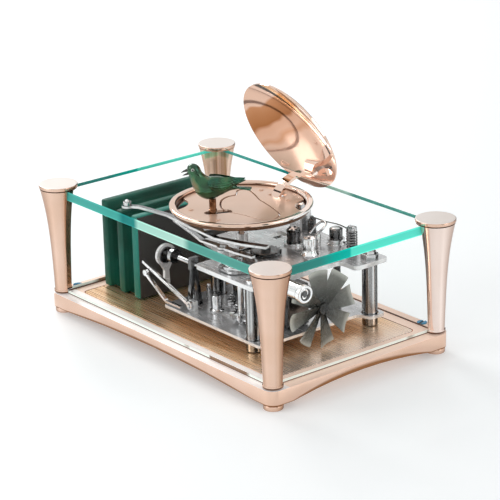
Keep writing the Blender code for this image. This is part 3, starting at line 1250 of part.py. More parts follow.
def make_fan():
    """The air brake: eight twisted blades on a hub and arbor, in one piece, and its governor housing."""
    half = 0.5 * FAN_HUB_LENGTH
    hub = rod_mesh((FAN_X - half, FAN_Y, FAN_Z), (FAN_X + half, FAN_Y, FAN_Z), FAN_HUB_RADIUS, 24)
    fan = place("governor_fan", hub, FAN_RESIN, (FAN_X, FAN_Y, FAN_Z))
    for number in range(FAN_BLADES):
        add(fan, blade_mesh(2.0 * math.pi * number / FAN_BLADES))
    arbor_start = HOUSING_X + 1.2 * MM
    arbor_end = FAN_X + half + 0.7 * MM
    add(fan, rod_mesh((arbor_start, FAN_Y, FAN_Z), (arbor_end, FAN_Y, FAN_Z), FAN_ARBOR_RADIUS, 16))
    low = LOWER_PLATE_TOP_Z + GAP
    housing = place("governor_housing", block_mesh(
        (HOUSING_X, FAN_Y - 0.5 * HOUSING_WIDTH, low),
        (HOUSING_X + HOUSING_LENGTH, FAN_Y + 0.5 * HOUSING_WIDTH, low + HOUSING_HEIGHT)), NICKEL)
    bevel(housing, 0.4 * MM, 1)
    cut(housing, rod_mesh((arbor_start - GAP, FAN_Y, FAN_Z), (HOUSING_X + 2.0 * HOUSING_LENGTH, FAN_Y, FAN_Z),
                          FAN_ARBOR_RADIUS + RUNNING_GAP, 20))


# Whistle


def make_whistle():
    """The bird's pipe: a polished tube shut at one end, with a sliding piston."""
    outer = WHISTLE_RADIUS
    inner = WHISTLE_RADIUS - WHISTLE_WALL
    edge = 0.5 * MM
    mesh = turned_mesh((
        (0.0, WHISTLE_LENGTH), (outer - edge, WHISTLE_LENGTH), (outer, WHISTLE_LENGTH - edge), (outer, 0.0),
        (inner, 0.0), (inner, WHISTLE_LENGTH - 1.0 * MM), (0.0, WHISTLE_LENGTH - 1.0 * MM),
    ), 32)
    mesh.transform(Matrix.Rotation(0.5 * math.pi, 4, "Y"))
    mesh.transform(Matrix.Translation((WHISTLE_X, WHISTLE_Y, WHISTLE_Z)))
    smooth(mesh)
    place("whistle_tube", mesh, STEEL, (WHISTLE_X, WHISTLE_Y, WHISTLE_Z))
    rod = rod_mesh((PISTON_ROD_X, WHISTLE_Y, WHISTLE_Z), (PISTON_HEAD_X + 0.5 * MM, WHISTLE_Y, WHISTLE_Z),
                   PISTON_ROD_RADIUS, 14)
    piston = place("whistle_piston", rod, STEEL, (PISTON_HEAD_X, WHISTLE_Y, WHISTLE_Z))
    end = PISTON_HEAD_X + PISTON_HEAD_LENGTH
    add(piston, rod_mesh((PISTON_HEAD_X, WHISTLE_Y, WHISTLE_Z), (end, WHISTLE_Y, WHISTLE_Z),
                         inner - RUNNING_GAP, 24))


# Levers and springs


def strip_outline(route):
    """A flat strip's outline along (x, y, half width) points in millimetres."""
    points = [Vector((x, y)) * MM for x, y, half in route]
    halves = [half * MM for x, y, half in route]
    left = []
    right = []
    for index, point in enumerate(points):
        back = points[max(index - 1, 0)]
        ahead = points[min(index + 1, len(points) - 1)]
        side = (ahead - back).normalized().orthogonal()
        left.append(tuple(point + side * halves[index]))
        right.append(tuple(point - side * halves[index]))
    return left + right[::-1]


def make_top_levers():
    """The two cam levers under the glass: each a strip with an eye round its pivot stud."""
    x, y = LONG_LEVER_ROUTE[0][0] * MM, LONG_LEVER_ROUTE[0][1] * MM
    high = LONG_LEVER_Z + LEVER_THICKNESS
    lever = place("long_cam_lever", sheet_mesh(strip_outline(LONG_LEVER_ROUTE), LONG_LEVER_Z, high), STEEL,
                  (x, y, LONG_LEVER_Z))
    add(lever, rod_mesh((x, y, LONG_LEVER_Z), (x, y, high), LEVER_EYE_RADIUS, 24))
    cut(lever, rod_mesh((x, y, LONG_LEVER_Z - GAP), (x, y, high + GAP), LEVER_STUD_RADIUS + RUNNING_GAP, 20))
    x, y = SHORT_LEVER_ROUTE[0][0] * MM, SHORT_LEVER_ROUTE[0][1] * MM
    high = SHORT_LEVER_Z + LEVER_THICKNESS
    lever = place("short_cam_lever", sheet_mesh(strip_outline(SHORT_LEVER_ROUTE), SHORT_LEVER_Z, high), STEEL,
                  (x, y, SHORT_LEVER_Z))
    add(lever, sheet_mesh(strip_outline(SHORT_LEVER_NOSE), SHORT_LEVER_Z, high))
    add(lever, rod_mesh((x, y, SHORT_LEVER_Z), (x, y, high), LEVER_EYE_RADIUS, 24))
    cut(lever, rod_mesh((x, y, SHORT_LEVER_Z - GAP), (x, y, high + GAP), LEVER_STUD_RADIUS + RUNNING_GAP, 20))


def xz_sheet(points, near_y, far_y):
    """An outline of (x, z) points given a depth along Y."""
    mesh = sheet_mesh(points, -far_y, -near_y)
    mesh.transform(Matrix(((1, 0, 0, 0), (0, 0, -1, 0), (0, 1, 0, 0), (0, 0, 0, 1))))
    return mesh


def make_feeder_lever():
    """The slim lever at the bellows' front, on the pin of its support."""
    near = FEEDER_LEVER_Y - 0.5 * FEEDER_LEVER_WIDTH
    far = FEEDER_LEVER_Y + 0.5 * FEEDER_LEVER_WIDTH
    pivot = Vector((FEEDER_LEVER_PIVOT_X, FEEDER_LEVER_PIVOT_Z))
    tip = Vector((FEEDER_LEVER_TIP_X, FEEDER_LEVER_TIP_Z))
    side = 0.5 * MM * (tip - pivot).normalized().orthogonal()
    outline = [tuple(pivot + side), tuple(tip + side), tuple(tip - side), tuple(pivot - side)]
    lever = place("feeder_lever", xz_sheet(outline, near, far), STEEL, (pivot.x, FEEDER_LEVER_Y, pivot.y))
    add(lever, rod_mesh((pivot.x, near, pivot.y), (pivot.x, far, pivot.y), 1.5 * MM, 20))
    ends = ((pivot.x, near - GAP, pivot.y), (pivot.x, far + GAP, pivot.y))
    cut(lever, rod_mesh(*ends, LEVER_PIN_RADIUS + RUNNING_GAP, 14))


def add_lever_support(lower):
    """The upright on the lower plate whose pin carries the feeder lever."""
    x = FEEDER_LEVER_PIVOT_X
    z = FEEDER_LEVER_PIVOT_Z
    far = FEEDER_LEVER_Y + 0.5 * FEEDER_LEVER_WIDTH
    near = FEEDER_LEVER_Y - 0.5 * FEEDER_LEVER_WIDTH
    back = far + GAP + LEVER_SUPPORT_THICKNESS
    half = 1.5 * MM
    mid = LOWER_PLATE_Z + 0.5 * LOWER_PLATE_THICKNESS
    add(lower, block_mesh((x - half, far + GAP, mid), (x + half, back, z + half)))
    add(lower, rod_mesh((x, near - GAP, z), (x, 0.5 * (far + GAP + back), z), LEVER_PIN_RADIUS, 14))


def make_pressure_spring():
    """The bent flat spring with a round head that stands on the lower plate."""
    half = 0.5 * PRESSURE_SPRING_THICKNESS
    floor = LOWER_PLATE_TOP_Z + GAP + half
    line = (
        (PRESSURE_SPRING_FOOT_X, floor), (PRESSURE_SPRING_BEND_X + PRESSURE_SPRING_BEND, floor),
        (PRESSURE_SPRING_BEND_X, floor + 0.5 * PRESSURE_SPRING_BEND),
        (PRESSURE_SPRING_TIP_X, PRESSURE_SPRING_TIP_Z),
    )
    points = [Vector(point) for point in line]
    upper = []
    lower = []
    for index, point in enumerate(points):
        back = points[max(index - 1, 0)]
        ahead = points[min(index + 1, len(points) - 1)]
        side = (ahead - back).normalized().orthogonal()
        upper.append(tuple(point + side * half))
        lower.append(tuple(point - side * half))
    near = PRESSURE_SPRING_Y - PRESSURE_SPRING_WIDTH
    far = PRESSURE_SPRING_Y
    spring = place("pressure_spring", xz_sheet(upper + lower[::-1], near, far), STEEL)
    head = (PRESSURE_SPRING_TIP_X, PRESSURE_SPRING_TIP_Z + 0.5 * half)
    add(spring, rod_mesh((head[0], near, head[1]), (head[0], far, head[1]), PRESSURE_SPRING_HEAD, 20))


def make_return_spring():
    """The coil spring round its stud: one unbroken tube whose gap to itself is measured and printed."""
    low = UPPER_PLATE_TOP_Z + GAP + COIL_WIRE_RADIUS
    count = COIL_TURNS * COIL_POINTS + 1
    turns = np.arange(count) / COIL_POINTS
    points = np.stack((
        RETURN_SPRING_X + COIL_RADIUS * np.cos(2.0 * np.pi * turns),
        RETURN_SPRING_Y + COIL_RADIUS * np.sin(2.0 * np.pi * turns),
        low + COIL_PITCH * turns,
    ), axis=1)
    apart = np.linalg.norm(points[:, None] - points[None, :], axis=2)
    steps_between = np.abs(np.arange(count)[:, None] - np.arange(count)[None, :])
    gap = apart[steps_between > COIL_POINTS // 2].min() - 2.0 * COIL_WIRE_RADIUS
    print("return spring least self-gap: %.2f mm" % (gap / MM))
    mesh = tube_mesh(points.tolist(), COIL_WIRE_RADIUS, 1)
    smooth(mesh)
    place("return_spring", mesh, STEEL, (RETURN_SPRING_X, RETURN_SPRING_Y, low))


def main():
    """Build every piece of the automaton."""
    make_base_frame()
    make_base_plate()
    for depth, side_y in (("front", -1.0), ("back", 1.0)):
        for end, side_x in (("left", -1.0), ("right", 1.0)):
            make_corner(depth + "_" + end, side_x, side_y)
    make_panes()
    make_bezel()
    make_stage()
    make_flap()
    make_pivot_bracket()
    make_carriage()
    make_bird_tube()
    make_bird_body()
    make_wings()
    make_beak_and_tail()
    make_lid()
    make_lid_arm()
    make_hinge_bracket()
    make_plates_and_posts()
    make_bellows()
    make_barrel()
    make_click()
    make_cam_stack()
    make_eccentric()
    make_fan()
    make_whistle()
    make_top_levers()
    make_feeder_lever()
    make_pressure_spring()
    make_return_spring()
    print("pieces:", len(PART.objects))


main()
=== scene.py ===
# %% [markdown]
# # A singing bird in a glass case
# The object is a small automaton: a whistle movement in a case of glass and rose gold, with a bird that
# stands up through a trap while a domed lid swings open behind it.
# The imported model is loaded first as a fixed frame. Each visible piece is then either worked out anew
# with numpy, or refined from its solid, and every finish is made of nodes.

# %% Load the frame
import json
import math
import bpy
import bmesh
import numpy as np
from mathutils import Matrix, Vector


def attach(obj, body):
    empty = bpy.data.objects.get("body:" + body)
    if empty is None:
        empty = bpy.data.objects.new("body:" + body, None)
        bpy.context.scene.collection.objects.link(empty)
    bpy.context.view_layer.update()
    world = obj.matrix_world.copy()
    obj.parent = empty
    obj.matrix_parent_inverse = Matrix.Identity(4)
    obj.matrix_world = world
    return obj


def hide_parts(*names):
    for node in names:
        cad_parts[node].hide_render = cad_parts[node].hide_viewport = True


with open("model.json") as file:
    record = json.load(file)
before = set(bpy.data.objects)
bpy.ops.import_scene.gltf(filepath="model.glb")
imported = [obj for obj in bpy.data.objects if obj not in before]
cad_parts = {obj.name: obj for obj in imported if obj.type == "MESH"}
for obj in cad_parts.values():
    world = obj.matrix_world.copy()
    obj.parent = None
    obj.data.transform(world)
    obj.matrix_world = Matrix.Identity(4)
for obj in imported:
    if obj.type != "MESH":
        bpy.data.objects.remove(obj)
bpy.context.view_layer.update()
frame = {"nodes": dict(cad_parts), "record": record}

BODY_OF = {node: body for body, nodes in frame["record"]["behaviour"]["bodies"].items() for node in nodes}

# %% [markdown]
# ## The camera
# A product photograph is taken with a long lens from a little above. The place and the three directions
# were worked out from the corners of the case, so the case falls on the same lines as in the photograph.

# %% Camera
CAMERA_PLACE, LENS = (0.55192, -0.43410, 0.28041), 158.1
eye = bpy.data.objects.new("camera", bpy.data.cameras.new("camera"))
bpy.context.scene.collection.objects.link(eye)
right, up = (0.62788, 0.77791, -0.02514), (-0.24745, 0.23014, 0.94117)
forward = (-0.73793, 0.58472, -0.33699)
turn = Matrix((right, up, [-v for v in forward])).transposed().to_4x4()
eye.matrix_world = Matrix.Translation(CAMERA_PLACE) @ turn
eye.data.lens = LENS
eye.data.sensor_width = 36.0
eye.data.clip_start = 0.01
bpy.context.scene.camera = eye
print("camera", [round(v, 3) for v in eye.location])

# %% [markdown]
# ## The studio
# Polished metal shows only what stands round it, so the studio is half of its finish. White light from all
# sides would make the gold look like paint. Here a white room carries a few soft lamps for highlights, and
# dark cards give the metal something dark to mirror. The room has three strengths: one for the camera and
# for what is seen through glass, one for mirrors, and a lower one as a light.

# %% World
ROOM_LIGHT, ROOM_SEEN, ROOM_MIRRORED = 0.58, 1.0, 0.88
scene = bpy.context.scene
scene.view_settings.view_transform = "Standard"
world = bpy.data.worlds.new("studio_world")
scene.world = world
world.use_nodes = True
sky, links = world.node_tree.nodes, world.node_tree.links
ways = sky.new("ShaderNodeLightPath")
seen = sky.new("ShaderNodeMath")
seen.operation = "MAXIMUM"
links.new(ways.outputs["Is Camera Ray"], seen.inputs[0])
links.new(ways.outputs["Is Transmission Ray"], seen.inputs[1])
level = sky.new("ShaderNodeMix")
level.inputs["A"].default_value = ROOM_LIGHT
level.inputs["B"].default_value = ROOM_SEEN
links.new(seen.outputs[0], level.inputs["Factor"])
mirror_level = sky.new("ShaderNodeMix")
mirror_level.inputs["B"].default_value = ROOM_MIRRORED
links.new(ways.outputs["Is Glossy Ray"], mirror_level.inputs["Factor"])
links.new(level.outputs["Result"], mirror_level.inputs["A"])
links.new(mirror_level.outputs["Result"], sky["Background"].inputs["Strength"])
sky["Background"].inputs["Color"].default_value = (1.0, 1.0, 1.0, 1.0)
print("room", ROOM_LIGHT, ROOM_SEEN, ROOM_MIRRORED)

# %% [markdown]
# The floor and the cards are flat sheets, each turned to face a point. The floor glows faintly, so that it
# is nearly white and still takes the soft shadow under the case.


# %% Floor
def plane(name, width, depth, place, aim, finish):
    """A flat card of the given size that faces a point."""
    x, y = 0.5 * width, 0.5 * depth
    mesh = bpy.data.meshes.new(name)
    mesh.from_pydata([(-x, -y, 0), (x, -y, 0), (x, y, 0), (-x, y, 0)], [], [(0, 1, 2, 3)])
    mesh.materials.append(finish)
    card = bpy.data.objects.new(name, mesh)
    scene.collection.objects.link(card)
    card.matrix_world = facing(place, aim)
    return card


def facing(place, aim):
    """A place and turn whose -Z points at the aim, as a lamp's does."""
    away = (Vector(aim) - Vector(place)).normalized()
    return Matrix.Translation(place) @ away.to_track_quat("-Z", "Y").to_matrix().to_4x4()


def plain_finish(name, **settings):
    """One plain colour, for the floor and the cards only."""
    finish = bpy.data.materials.new(name)
    finish.use_nodes = True
    for socket, value in settings.items():
        finish.node_tree.nodes["Principled BSDF"].inputs[socket.replace("_", " ")].default_value = value
    return finish


pale = plain_finish(
    "pale_floor", Base_Color=(0.77, 0.80, 0.81, 1.0), Roughness=0.42, Specular_IOR_Level=0.35,
    Emission_Color=(1.0, 1.0, 1.0, 1.0), Emission_Strength=0.30,
)
floor = plane("floor", 6.0, 6.0, (0.0, 0.0, 0.0), (0.0, 0.0, -1.0), pale)
print("floor", [round(side, 1) for side in floor.dimensions])

# %% [markdown]
# Three soft boxes light the object: a key at the front left, a weaker one at the right, and a strong one
# behind at the left, which draws bright lines along the rims. The dark cards are seen by mirrors alone.

# %% Lamps and dark cards
LAMP_AIM, CARD_AIM = (0.0, 0.0, 0.04), (0.0, 0.0, 0.05)
LAMPS = (
    ("key_lamp", 0.50, 0.50, (-0.30, -0.72, 0.55), 2.3),
    ("side_lamp", 0.30, 0.55, (0.80, 0.30, 0.42), 1.6),
    ("back_lamp", 0.40, 0.30, (-0.72, 0.10, 0.52), 7.0),
)
for name, width, depth, place, radiance in LAMPS:
    lamp = bpy.data.lights.new(name, "AREA")
    lamp.shape = "RECTANGLE"
    lamp.size, lamp.size_y = width, depth
    lamp.energy = radiance * math.pi * width * depth
    holder = bpy.data.objects.new(name, lamp)
    scene.collection.objects.link(holder)
    holder.matrix_world = facing(place, LAMP_AIM)
dark = plain_finish("dark_card", Base_Color=(0.02, 0.018, 0.016, 1.0), Roughness=0.9)
CARDS = (
    ("card_left", 0.10, 0.50, (-0.62, -0.30, 0.22)),
    ("card_front", 0.08, 0.34, (0.25, -0.78, 0.20)),
    ("card_right", 0.10, 0.40, (0.62, -0.02, 0.16)),
    ("card_back", 0.80, 0.60, (-0.25, 0.86, 0.24)),
)
for name, width, depth, place in CARDS:
    card = plane(name, width, depth, place, CARD_AIM, dark)
    for way in ("camera", "diffuse", "shadow", "transmission"):
        setattr(card, "visible_" + way, False)
print("lamps", len(LAMPS), "cards", len(CARDS))

# %% [markdown]
# ## Surfaces from numbers
# Each new piece starts as an array of points. A grid of two parameters, such as the way round a pillar and
# the way up it, gives the points, and the same faces join the grid every time. Measures are in millimetres
# in the shop's own way, and become metres only when the mesh is written.

# %% Grids, turned and pushed forms
MM = 0.001
WELD = 0.002 * MM
SHARP = 32.0


def grid(rows, columns, close_rows=False, close_columns=True):
    """Quads over a grid: (i, j) is joined to (i, j+1), (i+1, j+1) and (i+1, j); closed ways wrap round."""
    i, j = np.meshgrid(
        np.arange(rows if close_rows else rows - 1),
        np.arange(columns if close_columns else columns - 1),
        indexing="ij",
    )
    over, along = (i + 1) % rows, (j + 1) % columns
    corners = [i * columns + j, i * columns + along, over * columns + along, over * columns + j]
    return np.stack(corners, axis=-1).reshape(-1, 4)


def end_caps(rows, columns):
    """The first and the last row of a grid as two faces that look away from each other."""
    return [np.arange(columns)[::-1], (rows - 1) * columns + np.arange(columns)]


def swapped(points, axis):
    """Lays a form that was drawn along Z along another axis."""
    order = {"Z": [0, 1, 2], "Y": [0, 2, 1], "X": [2, 0, 1]}[axis]
    return points[:, order]


def turned(profile, centre=(0.0, 0.0, 0.0), axis="Z", sides=64, closed=False):
    """A profile of (radius r, height h) carried round an axis: x = r cos t, y = r sin t, z = h."""
    profile = np.asarray(profile, float)
    t = np.linspace(0.0, 2.0 * np.pi, sides, endpoint=False)
    r, h = profile[:, :1], profile[:, 1:]
    points = np.stack([r * np.cos(t), r * np.sin(t), h + 0.0 * t], axis=-1).reshape(-1, 3)
    rims = []
    if not closed:
        ends = zip(end_caps(len(profile), sides), profile[[0, -1], 0])
        rims = [rim for rim, radius in ends if radius > 0.0]
    return swapped(points, axis) + np.asarray(centre, float), grid(len(profile), sides, closed), rims


def pushed(outline, low, high, axis="Z"):
    """A closed outline (a, b) pushed along an axis: (x, y) for Z, (x, z) for Y and (y, z) for X."""
    outline = np.asarray(outline, float)
    count = len(outline)
    points = np.concatenate([np.column_stack([outline, np.full(count, level)]) for level in (low, high)])
    return swapped(points, axis), grid(2, count), end_caps(2, count)


print("a ring of three points and two rows has", len(grid(2, 3)), "faces")

# %% [markdown]
# Wires and beaks are a ring carried along a line. Surfaces are laid together, turned and shifted as arrays,
# so that one mesh can hold several of them.


# %% Swept forms, joins and smooth lines
def swept(path, radius, sides=12, lean=(0.0, 0.0, 1.0)):
    """A ring carried along a path: side = way x lean, rise = side x way, point = side cos t + rise sin t."""
    path = np.asarray(path, float)
    radius = np.broadcast_to(np.asarray(radius, float), (len(path),))[:, None, None]
    way = np.gradient(path, axis=0)
    way /= np.linalg.norm(way, axis=1, keepdims=True)
    side = np.cross(way, lean)
    side /= np.linalg.norm(side, axis=1, keepdims=True)
    rise = np.cross(side, way)
    t = np.linspace(0.0, 2.0 * np.pi, sides, endpoint=False)[None, :, None]
    ring = side[:, None] * np.cos(t) + rise[:, None] * np.sin(t)
    points = (path[:, None] + radius * ring).reshape(-1, 3)
    return points, grid(len(path), sides), end_caps(len(path), sides)


def joined(*surfaces):
    """Lays several surfaces into one: the face numbers of each go up by the points that come before it."""
    starts = np.cumsum([0] + [len(surface[0]) for surface in surfaces[:-1]])
    points = np.concatenate([surface[0] for surface in surfaces])
    quads = np.concatenate([surface[1] + start for surface, start in zip(surfaces, starts)])
    rims = [rim + start for surface, start in zip(surfaces, starts) for rim in surface[2]]
    return points, quads, rims


def moved(surface, shift=(0.0, 0.0, 0.0), degrees=0.0, axis="Z", about=(0.0, 0.0, 0.0)):
    """Turns a surface about a line through a point, then shifts it."""
    turning = np.array(Matrix.Rotation(math.radians(degrees), 3, axis))
    about = np.asarray(about, float)
    return (surface[0] - about) @ turning.T + about + np.asarray(shift, float), surface[1], surface[2]


def curve_through(knots, count):
    """A smooth line through knots: from each knot to the next, every column is a cubic in f."""
    knots = np.asarray(knots, float)
    padded = np.vstack([2 * knots[0] - knots[1], knots, 2 * knots[-1] - knots[-2]])
    u = np.linspace(0.0, len(knots) - 1.000001, count)
    k = u.astype(int)
    f = (u - k)[:, None]
    a, b, c, d = padded[k], padded[k + 1], padded[k + 2], padded[k + 3]
    return 0.5 * (2 * b + (c - a) * f + (2 * a - 5 * b + 4 * c - d) * f**2 + (3 * b - a - 3 * c + d) * f**3)


print("surface helpers ready")

# %% [markdown]
# A finished piece rides on the body that carries it and takes the place of its solids, so it moves with the
# joints. Plates and castings keep the solid's own outline: a copy is merged, and its edges are rolled over.


def dress(name, mesh, finish, body, nodes, edge, steps, crease):
    """Gives a mesh its object, finish, soft edges and body, and hides the nodes that it stands for."""
    mesh.polygons.foreach_set("use_smooth", np.ones(len(mesh.polygons), bool))
    mesh.set_sharp_from_angle(angle=math.radians(crease))
    piece = bpy.data.objects.new(name, mesh)
    scene.collection.objects.link(piece)
    mesh.materials.clear()
    for coat in finish if isinstance(finish, (list, tuple)) else [finish]:
        mesh.materials.append(coat)
    if edge:
        soften = piece.modifiers.new("soft_edges", "BEVEL")
        soften.width = edge * MM
        soften.segments = steps
        soften.limit_method = "ANGLE"
        soften.angle_limit = math.radians(SHARP)
        soften.harden_normals = True
    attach(piece, body or BODY_OF[nodes[0]])
    if nodes:
        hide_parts(*nodes)
    return piece


def rebuild(name, surface, finish, nodes=(), body=None, edge=0.0, steps=2, crease=35.0):
    """Writes a numpy surface (mm) as a closed mesh: seams and poles welded, faces turned outwards."""
    points, quads, rims = surface
    mesh = bpy.data.meshes.new(name)
    mesh.from_pydata((points * MM).tolist(), [], quads.tolist() + [rim.tolist() for rim in rims])
    form = bmesh.new()
    form.from_mesh(mesh)
    bmesh.ops.remove_doubles(form, verts=form.verts, dist=WELD)
    bmesh.ops.recalc_face_normals(form, faces=form.faces)
    form.to_mesh(mesh)
    form.free()
    return dress(name, mesh, finish, body, nodes, edge, steps, crease)


print("a rebuilt mesh is welded within", WELD, "m")

# %% [markdown]
# Some pieces have two coats, such as a nickel plate with a painted highlight on its edges. A face takes its
# coat by the way it looks or by where it lies. A refined piece keeps its solid's outline.


# %% Coats by face and refined solids
def of_faces(piece, what):
    """The normal or the center of every face, a row each."""
    values = np.zeros(3 * len(piece.data.polygons))
    piece.data.polygons.foreach_get(what, values)
    return values.reshape(-1, 3)


def coat_faces(piece, index):
    """Each face takes the finish whose number the index gives it."""
    piece.data.polygons.foreach_set("material_index", index.astype(np.int32))
    return piece


def two_coats(piece, axis, low, high=1.1):
    """Faces whose normal along an axis lies between two limits take the piece's second finish."""
    share = of_faces(piece, "normal")[:, axis]
    return coat_faces(piece, (share > low) & (share < high))


def refine(node, finish, edge=0.12, steps=2, crease=SHARP, reshape=None, name=None):
    """A copy of a solid whose loose triangles are merged and whose edges are then softened.

    A reshape takes the points (mm) and gives them back moved. A copy with its own name is an extra piece.
    """
    form = bmesh.new()
    form.from_mesh(frame["nodes"][node].data)
    bmesh.ops.remove_doubles(form, verts=form.verts, dist=WELD)
    bmesh.ops.dissolve_limit(form, angle_limit=math.radians(0.8), verts=form.verts, edges=form.edges)
    mesh = bpy.data.meshes.new(name or "fine_" + node)
    form.to_mesh(mesh)
    form.free()
    if reshape:
        points = np.zeros(3 * len(mesh.vertices))
        mesh.vertices.foreach_get("co", points)
        mesh.vertices.foreach_set("co", (reshape(points.reshape(-1, 3) / MM) * MM).ravel())
        mesh.update()
    return dress(mesh.name, mesh, finish, BODY_OF[node], [] if name else [node], edge, steps, crease)


print("helpers ready")

# %% [markdown]
# ## Finishes
# A finish is a tree of nodes that reads where a point lies on the object. Noise stands for grain, wear and
# the faint clouds of handling, and is stretched where a brush or a lathe has left lines. The numbers after
# a noise are features per metre, so 900 gives grain of about a millimetre.


# %% A short way to write node trees
class Finish:
    """One node material: object coordinates come in, and one Principled shader goes out."""

    def __init__(self, name, slot, **settings):
        self.material = bpy.data.materials.new(name)
        self.material.use_nodes = True
        tree = self.material.node_tree
        self.nodes, self.links = tree.nodes, tree.links
        self.shader = self.nodes["Principled BSDF"]
        for socket, value in settings.items():
            self.shader.inputs[socket.replace("_", " ")].default_value = value
        self.place = self.nodes.new("ShaderNodeTexCoord").outputs["Object"]

    def node(self, kind, wires, output=0, **settings):
        """Adds a node, sets its options, and wires or fills its sockets."""
        made = self.nodes.new("ShaderNode" + kind)
        for option, value in settings.items():
            setattr(made, option, value)
        for socket, value in wires.items():
            if isinstance(value, bpy.types.NodeSocket):
                self.links.new(value, made.inputs[socket])
            else:
                made.inputs[socket].default_value = value
        return made.outputs[output]

    def noise(self, scale, stretch=(1.0, 1.0, 1.0), detail=3.0, rough=0.5):
        """Cloudy grain from 0 to 1, stretched along the axis with the smallest number."""
        where = self.node("Mapping", {"Vector": self.place, "Scale": stretch})
        wires = {"Vector": where, "Scale": scale, "Detail": detail, "Roughness": rough}
        return self.node("TexNoise", wires, "Fac")

    def cells(self, scale, stretch=(1.0, 1.0, 1.0)):
        """Cells of a leather grain or of small feathers."""
        where = self.node("Mapping", {"Vector": self.place, "Scale": stretch})
        return self.node("TexVoronoi", {"Vector": where, "Scale": scale}, "Distance")

    def ramp(self, value, stops):
        """Turns a number from 0 to 1 into a colour between stops of (place, colour)."""
        made = self.nodes.new("ShaderNodeValToRGB")
        self.links.new(value, made.inputs["Fac"])
        while len(made.color_ramp.elements) < len(stops):
            made.color_ramp.elements.new(0.5)
        for element, (spot, colour) in zip(made.color_ramp.elements, stops):
            element.position = spot
            element.color = (*colour, 1.0)
        return made.outputs["Color"]

    def spread(self, value, low, high, start=0.3, end=0.7):
        """Stretches a noise from start..end to low..high."""
        wires = {"Value": value, "From Min": start, "From Max": end, "To Min": low, "To Max": high}
        return self.node("MapRange", wires)

    def along(self, axis):
        """How far along an axis a point lies (m)."""
        return self.node("SeparateXYZ", {"Vector": self.place}, axis)

    def part(self, axis, low, high):
        """The same as a share, from 0 at low to 1 at high (mm)."""
        return self.spread(self.along(axis), 0.0, 1.0, low * MM, high * MM)

    def maths(self, operation, *values, clamp=False):
        """One step of arithmetic on numbers or sockets."""
        return self.node("Math", dict(enumerate(values)), operation=operation, use_clamp=clamp)

    def dot(self, vector, other):
        """Sum of the products of two vectors' parts."""
        return self.node("VectorMath", {0: vector, 1: other}, "Value", operation="DOT_PRODUCT")

    def mix(self, share, under, over, **settings):
        """One colour laid over another by a share from 0 to 1."""
        over = (*over, 1.0) if isinstance(over, tuple) else over
        return self.node("Mix", {"Factor": share, "A": under, "B": over}, 2, data_type="RGBA", **settings)

    def wire(self, socket, value):
        """Feeds one socket of the shader."""
        self.links.new(value, self.shader.inputs[socket])

    def glow(self, colour, strength):
        """A faint light of its own, which stands for what pale surroundings would add."""
        self.wire("Emission Color", colour)
        self.shader.inputs["Emission Strength"].default_value = strength

    def coat(self, colour, gloss=None, relief=None, glow=None):
        """Wires a colour, gloss as (grain, low, high), relief as (grain, strength, depth) and a glow."""
        self.wire("Base Color", colour)
        if gloss:
            self.wire("Roughness", self.spread(*gloss))
        if relief:
            self.bump(*relief)
        if glow is not None:
            self.glow(colour, glow)
        return self.material

    def bump(self, height, strength, depth):
        """Raises the surface by a noise, depth mm from its lowest to its highest."""
        wires = {"Height": height, "Strength": strength, "Distance": depth * MM}
        self.wire("Normal", self.node("Bump", wires, "Normal"))


print("finish writer ready")

# %% [markdown]
# Two recipes serve most pieces. Metal has soft clouds of colour, and its grain shows in gloss and relief.
# In leather, board and the steel of the posts, whose bands are a painted reflection, one grain leads colour,
# gloss and relief together.


# %% Metal and grained finishes
def metal(
    name, slot, light, deep, rough, grain=700.0, stretch=(1.0, 1.0, 1.0), depth=0.004, strength=0.15,
    cloud=70.0, rim=None, rim_share=0.8, metallic=1.0,
):
    """Plated metal: soft clouds of colour, fine grain in its gloss, and, where a rim colour is given, a
    painted dark reflection at the rim where it turns away.
    """
    made = Finish(name, slot, Metallic=metallic)
    colour = made.ramp(made.noise(cloud, detail=2.0), [(0.30, deep), (0.72, light)])
    # Painted dark reflection at the rim, where the surface turns away from view.
    if rim:
        turned_away = made.node("LayerWeight", {"Blend": 0.5}, "Facing")
        colour = made.mix(made.spread(turned_away, 0.0, rim_share, 0.42, 0.86), colour, rim)
    lines = made.noise(grain, stretch, 4.0, 0.6)
    return made.coat(colour, (lines, *rough), (lines, strength, depth))


def grained(name, slot, grain, stops, rough, relief=None, **settings):
    """A finish whose colour, gloss and relief all follow one grain."""
    made = Finish(name, slot, **settings)
    value = made.noise(*grain)
    return made.coat(made.ramp(value, stops), (value, *rough), relief and (value, *relief))


print("recipes ready")

# %% [markdown]
# The case is plated with rose gold. On the pillars, the rims of the caps and the feet it is pale where it
# faces the view and turns deep brown at the rims, where it turns away: a painted dark reflection. The front
# pillars have painted shade on the side away from the key, and each pillar has a dark line round its foot.
# The two at the back have painted reflections of other things, one of the bellows and one of the pale room,
# so each has a coat of its own.

# %% Rose gold
PILLAR_X, PILLAR_Y = 58.0, 35.0
GOLD_LIGHT, GOLD_DEEP = (0.86, 0.62, 0.50), (0.79, 0.54, 0.41)
# The lee brown is painted shade on the front pillars, and the rim brown is a painted dark reflection at the
# rims.
LEE_SHADE_BROWN, LINE_BROWN, RIM_REFLECTION_BROWN = (0.50, 0.26, 0.13), (0.10, 0.04, 0.015), (0.26, 0.10, 0.035)
EVEN = (70.0, (1.0, 1.0, 1.0))
UPRIGHT_REFLECTION_STREAK = (560.0, (1.0, 1.0, 0.01))


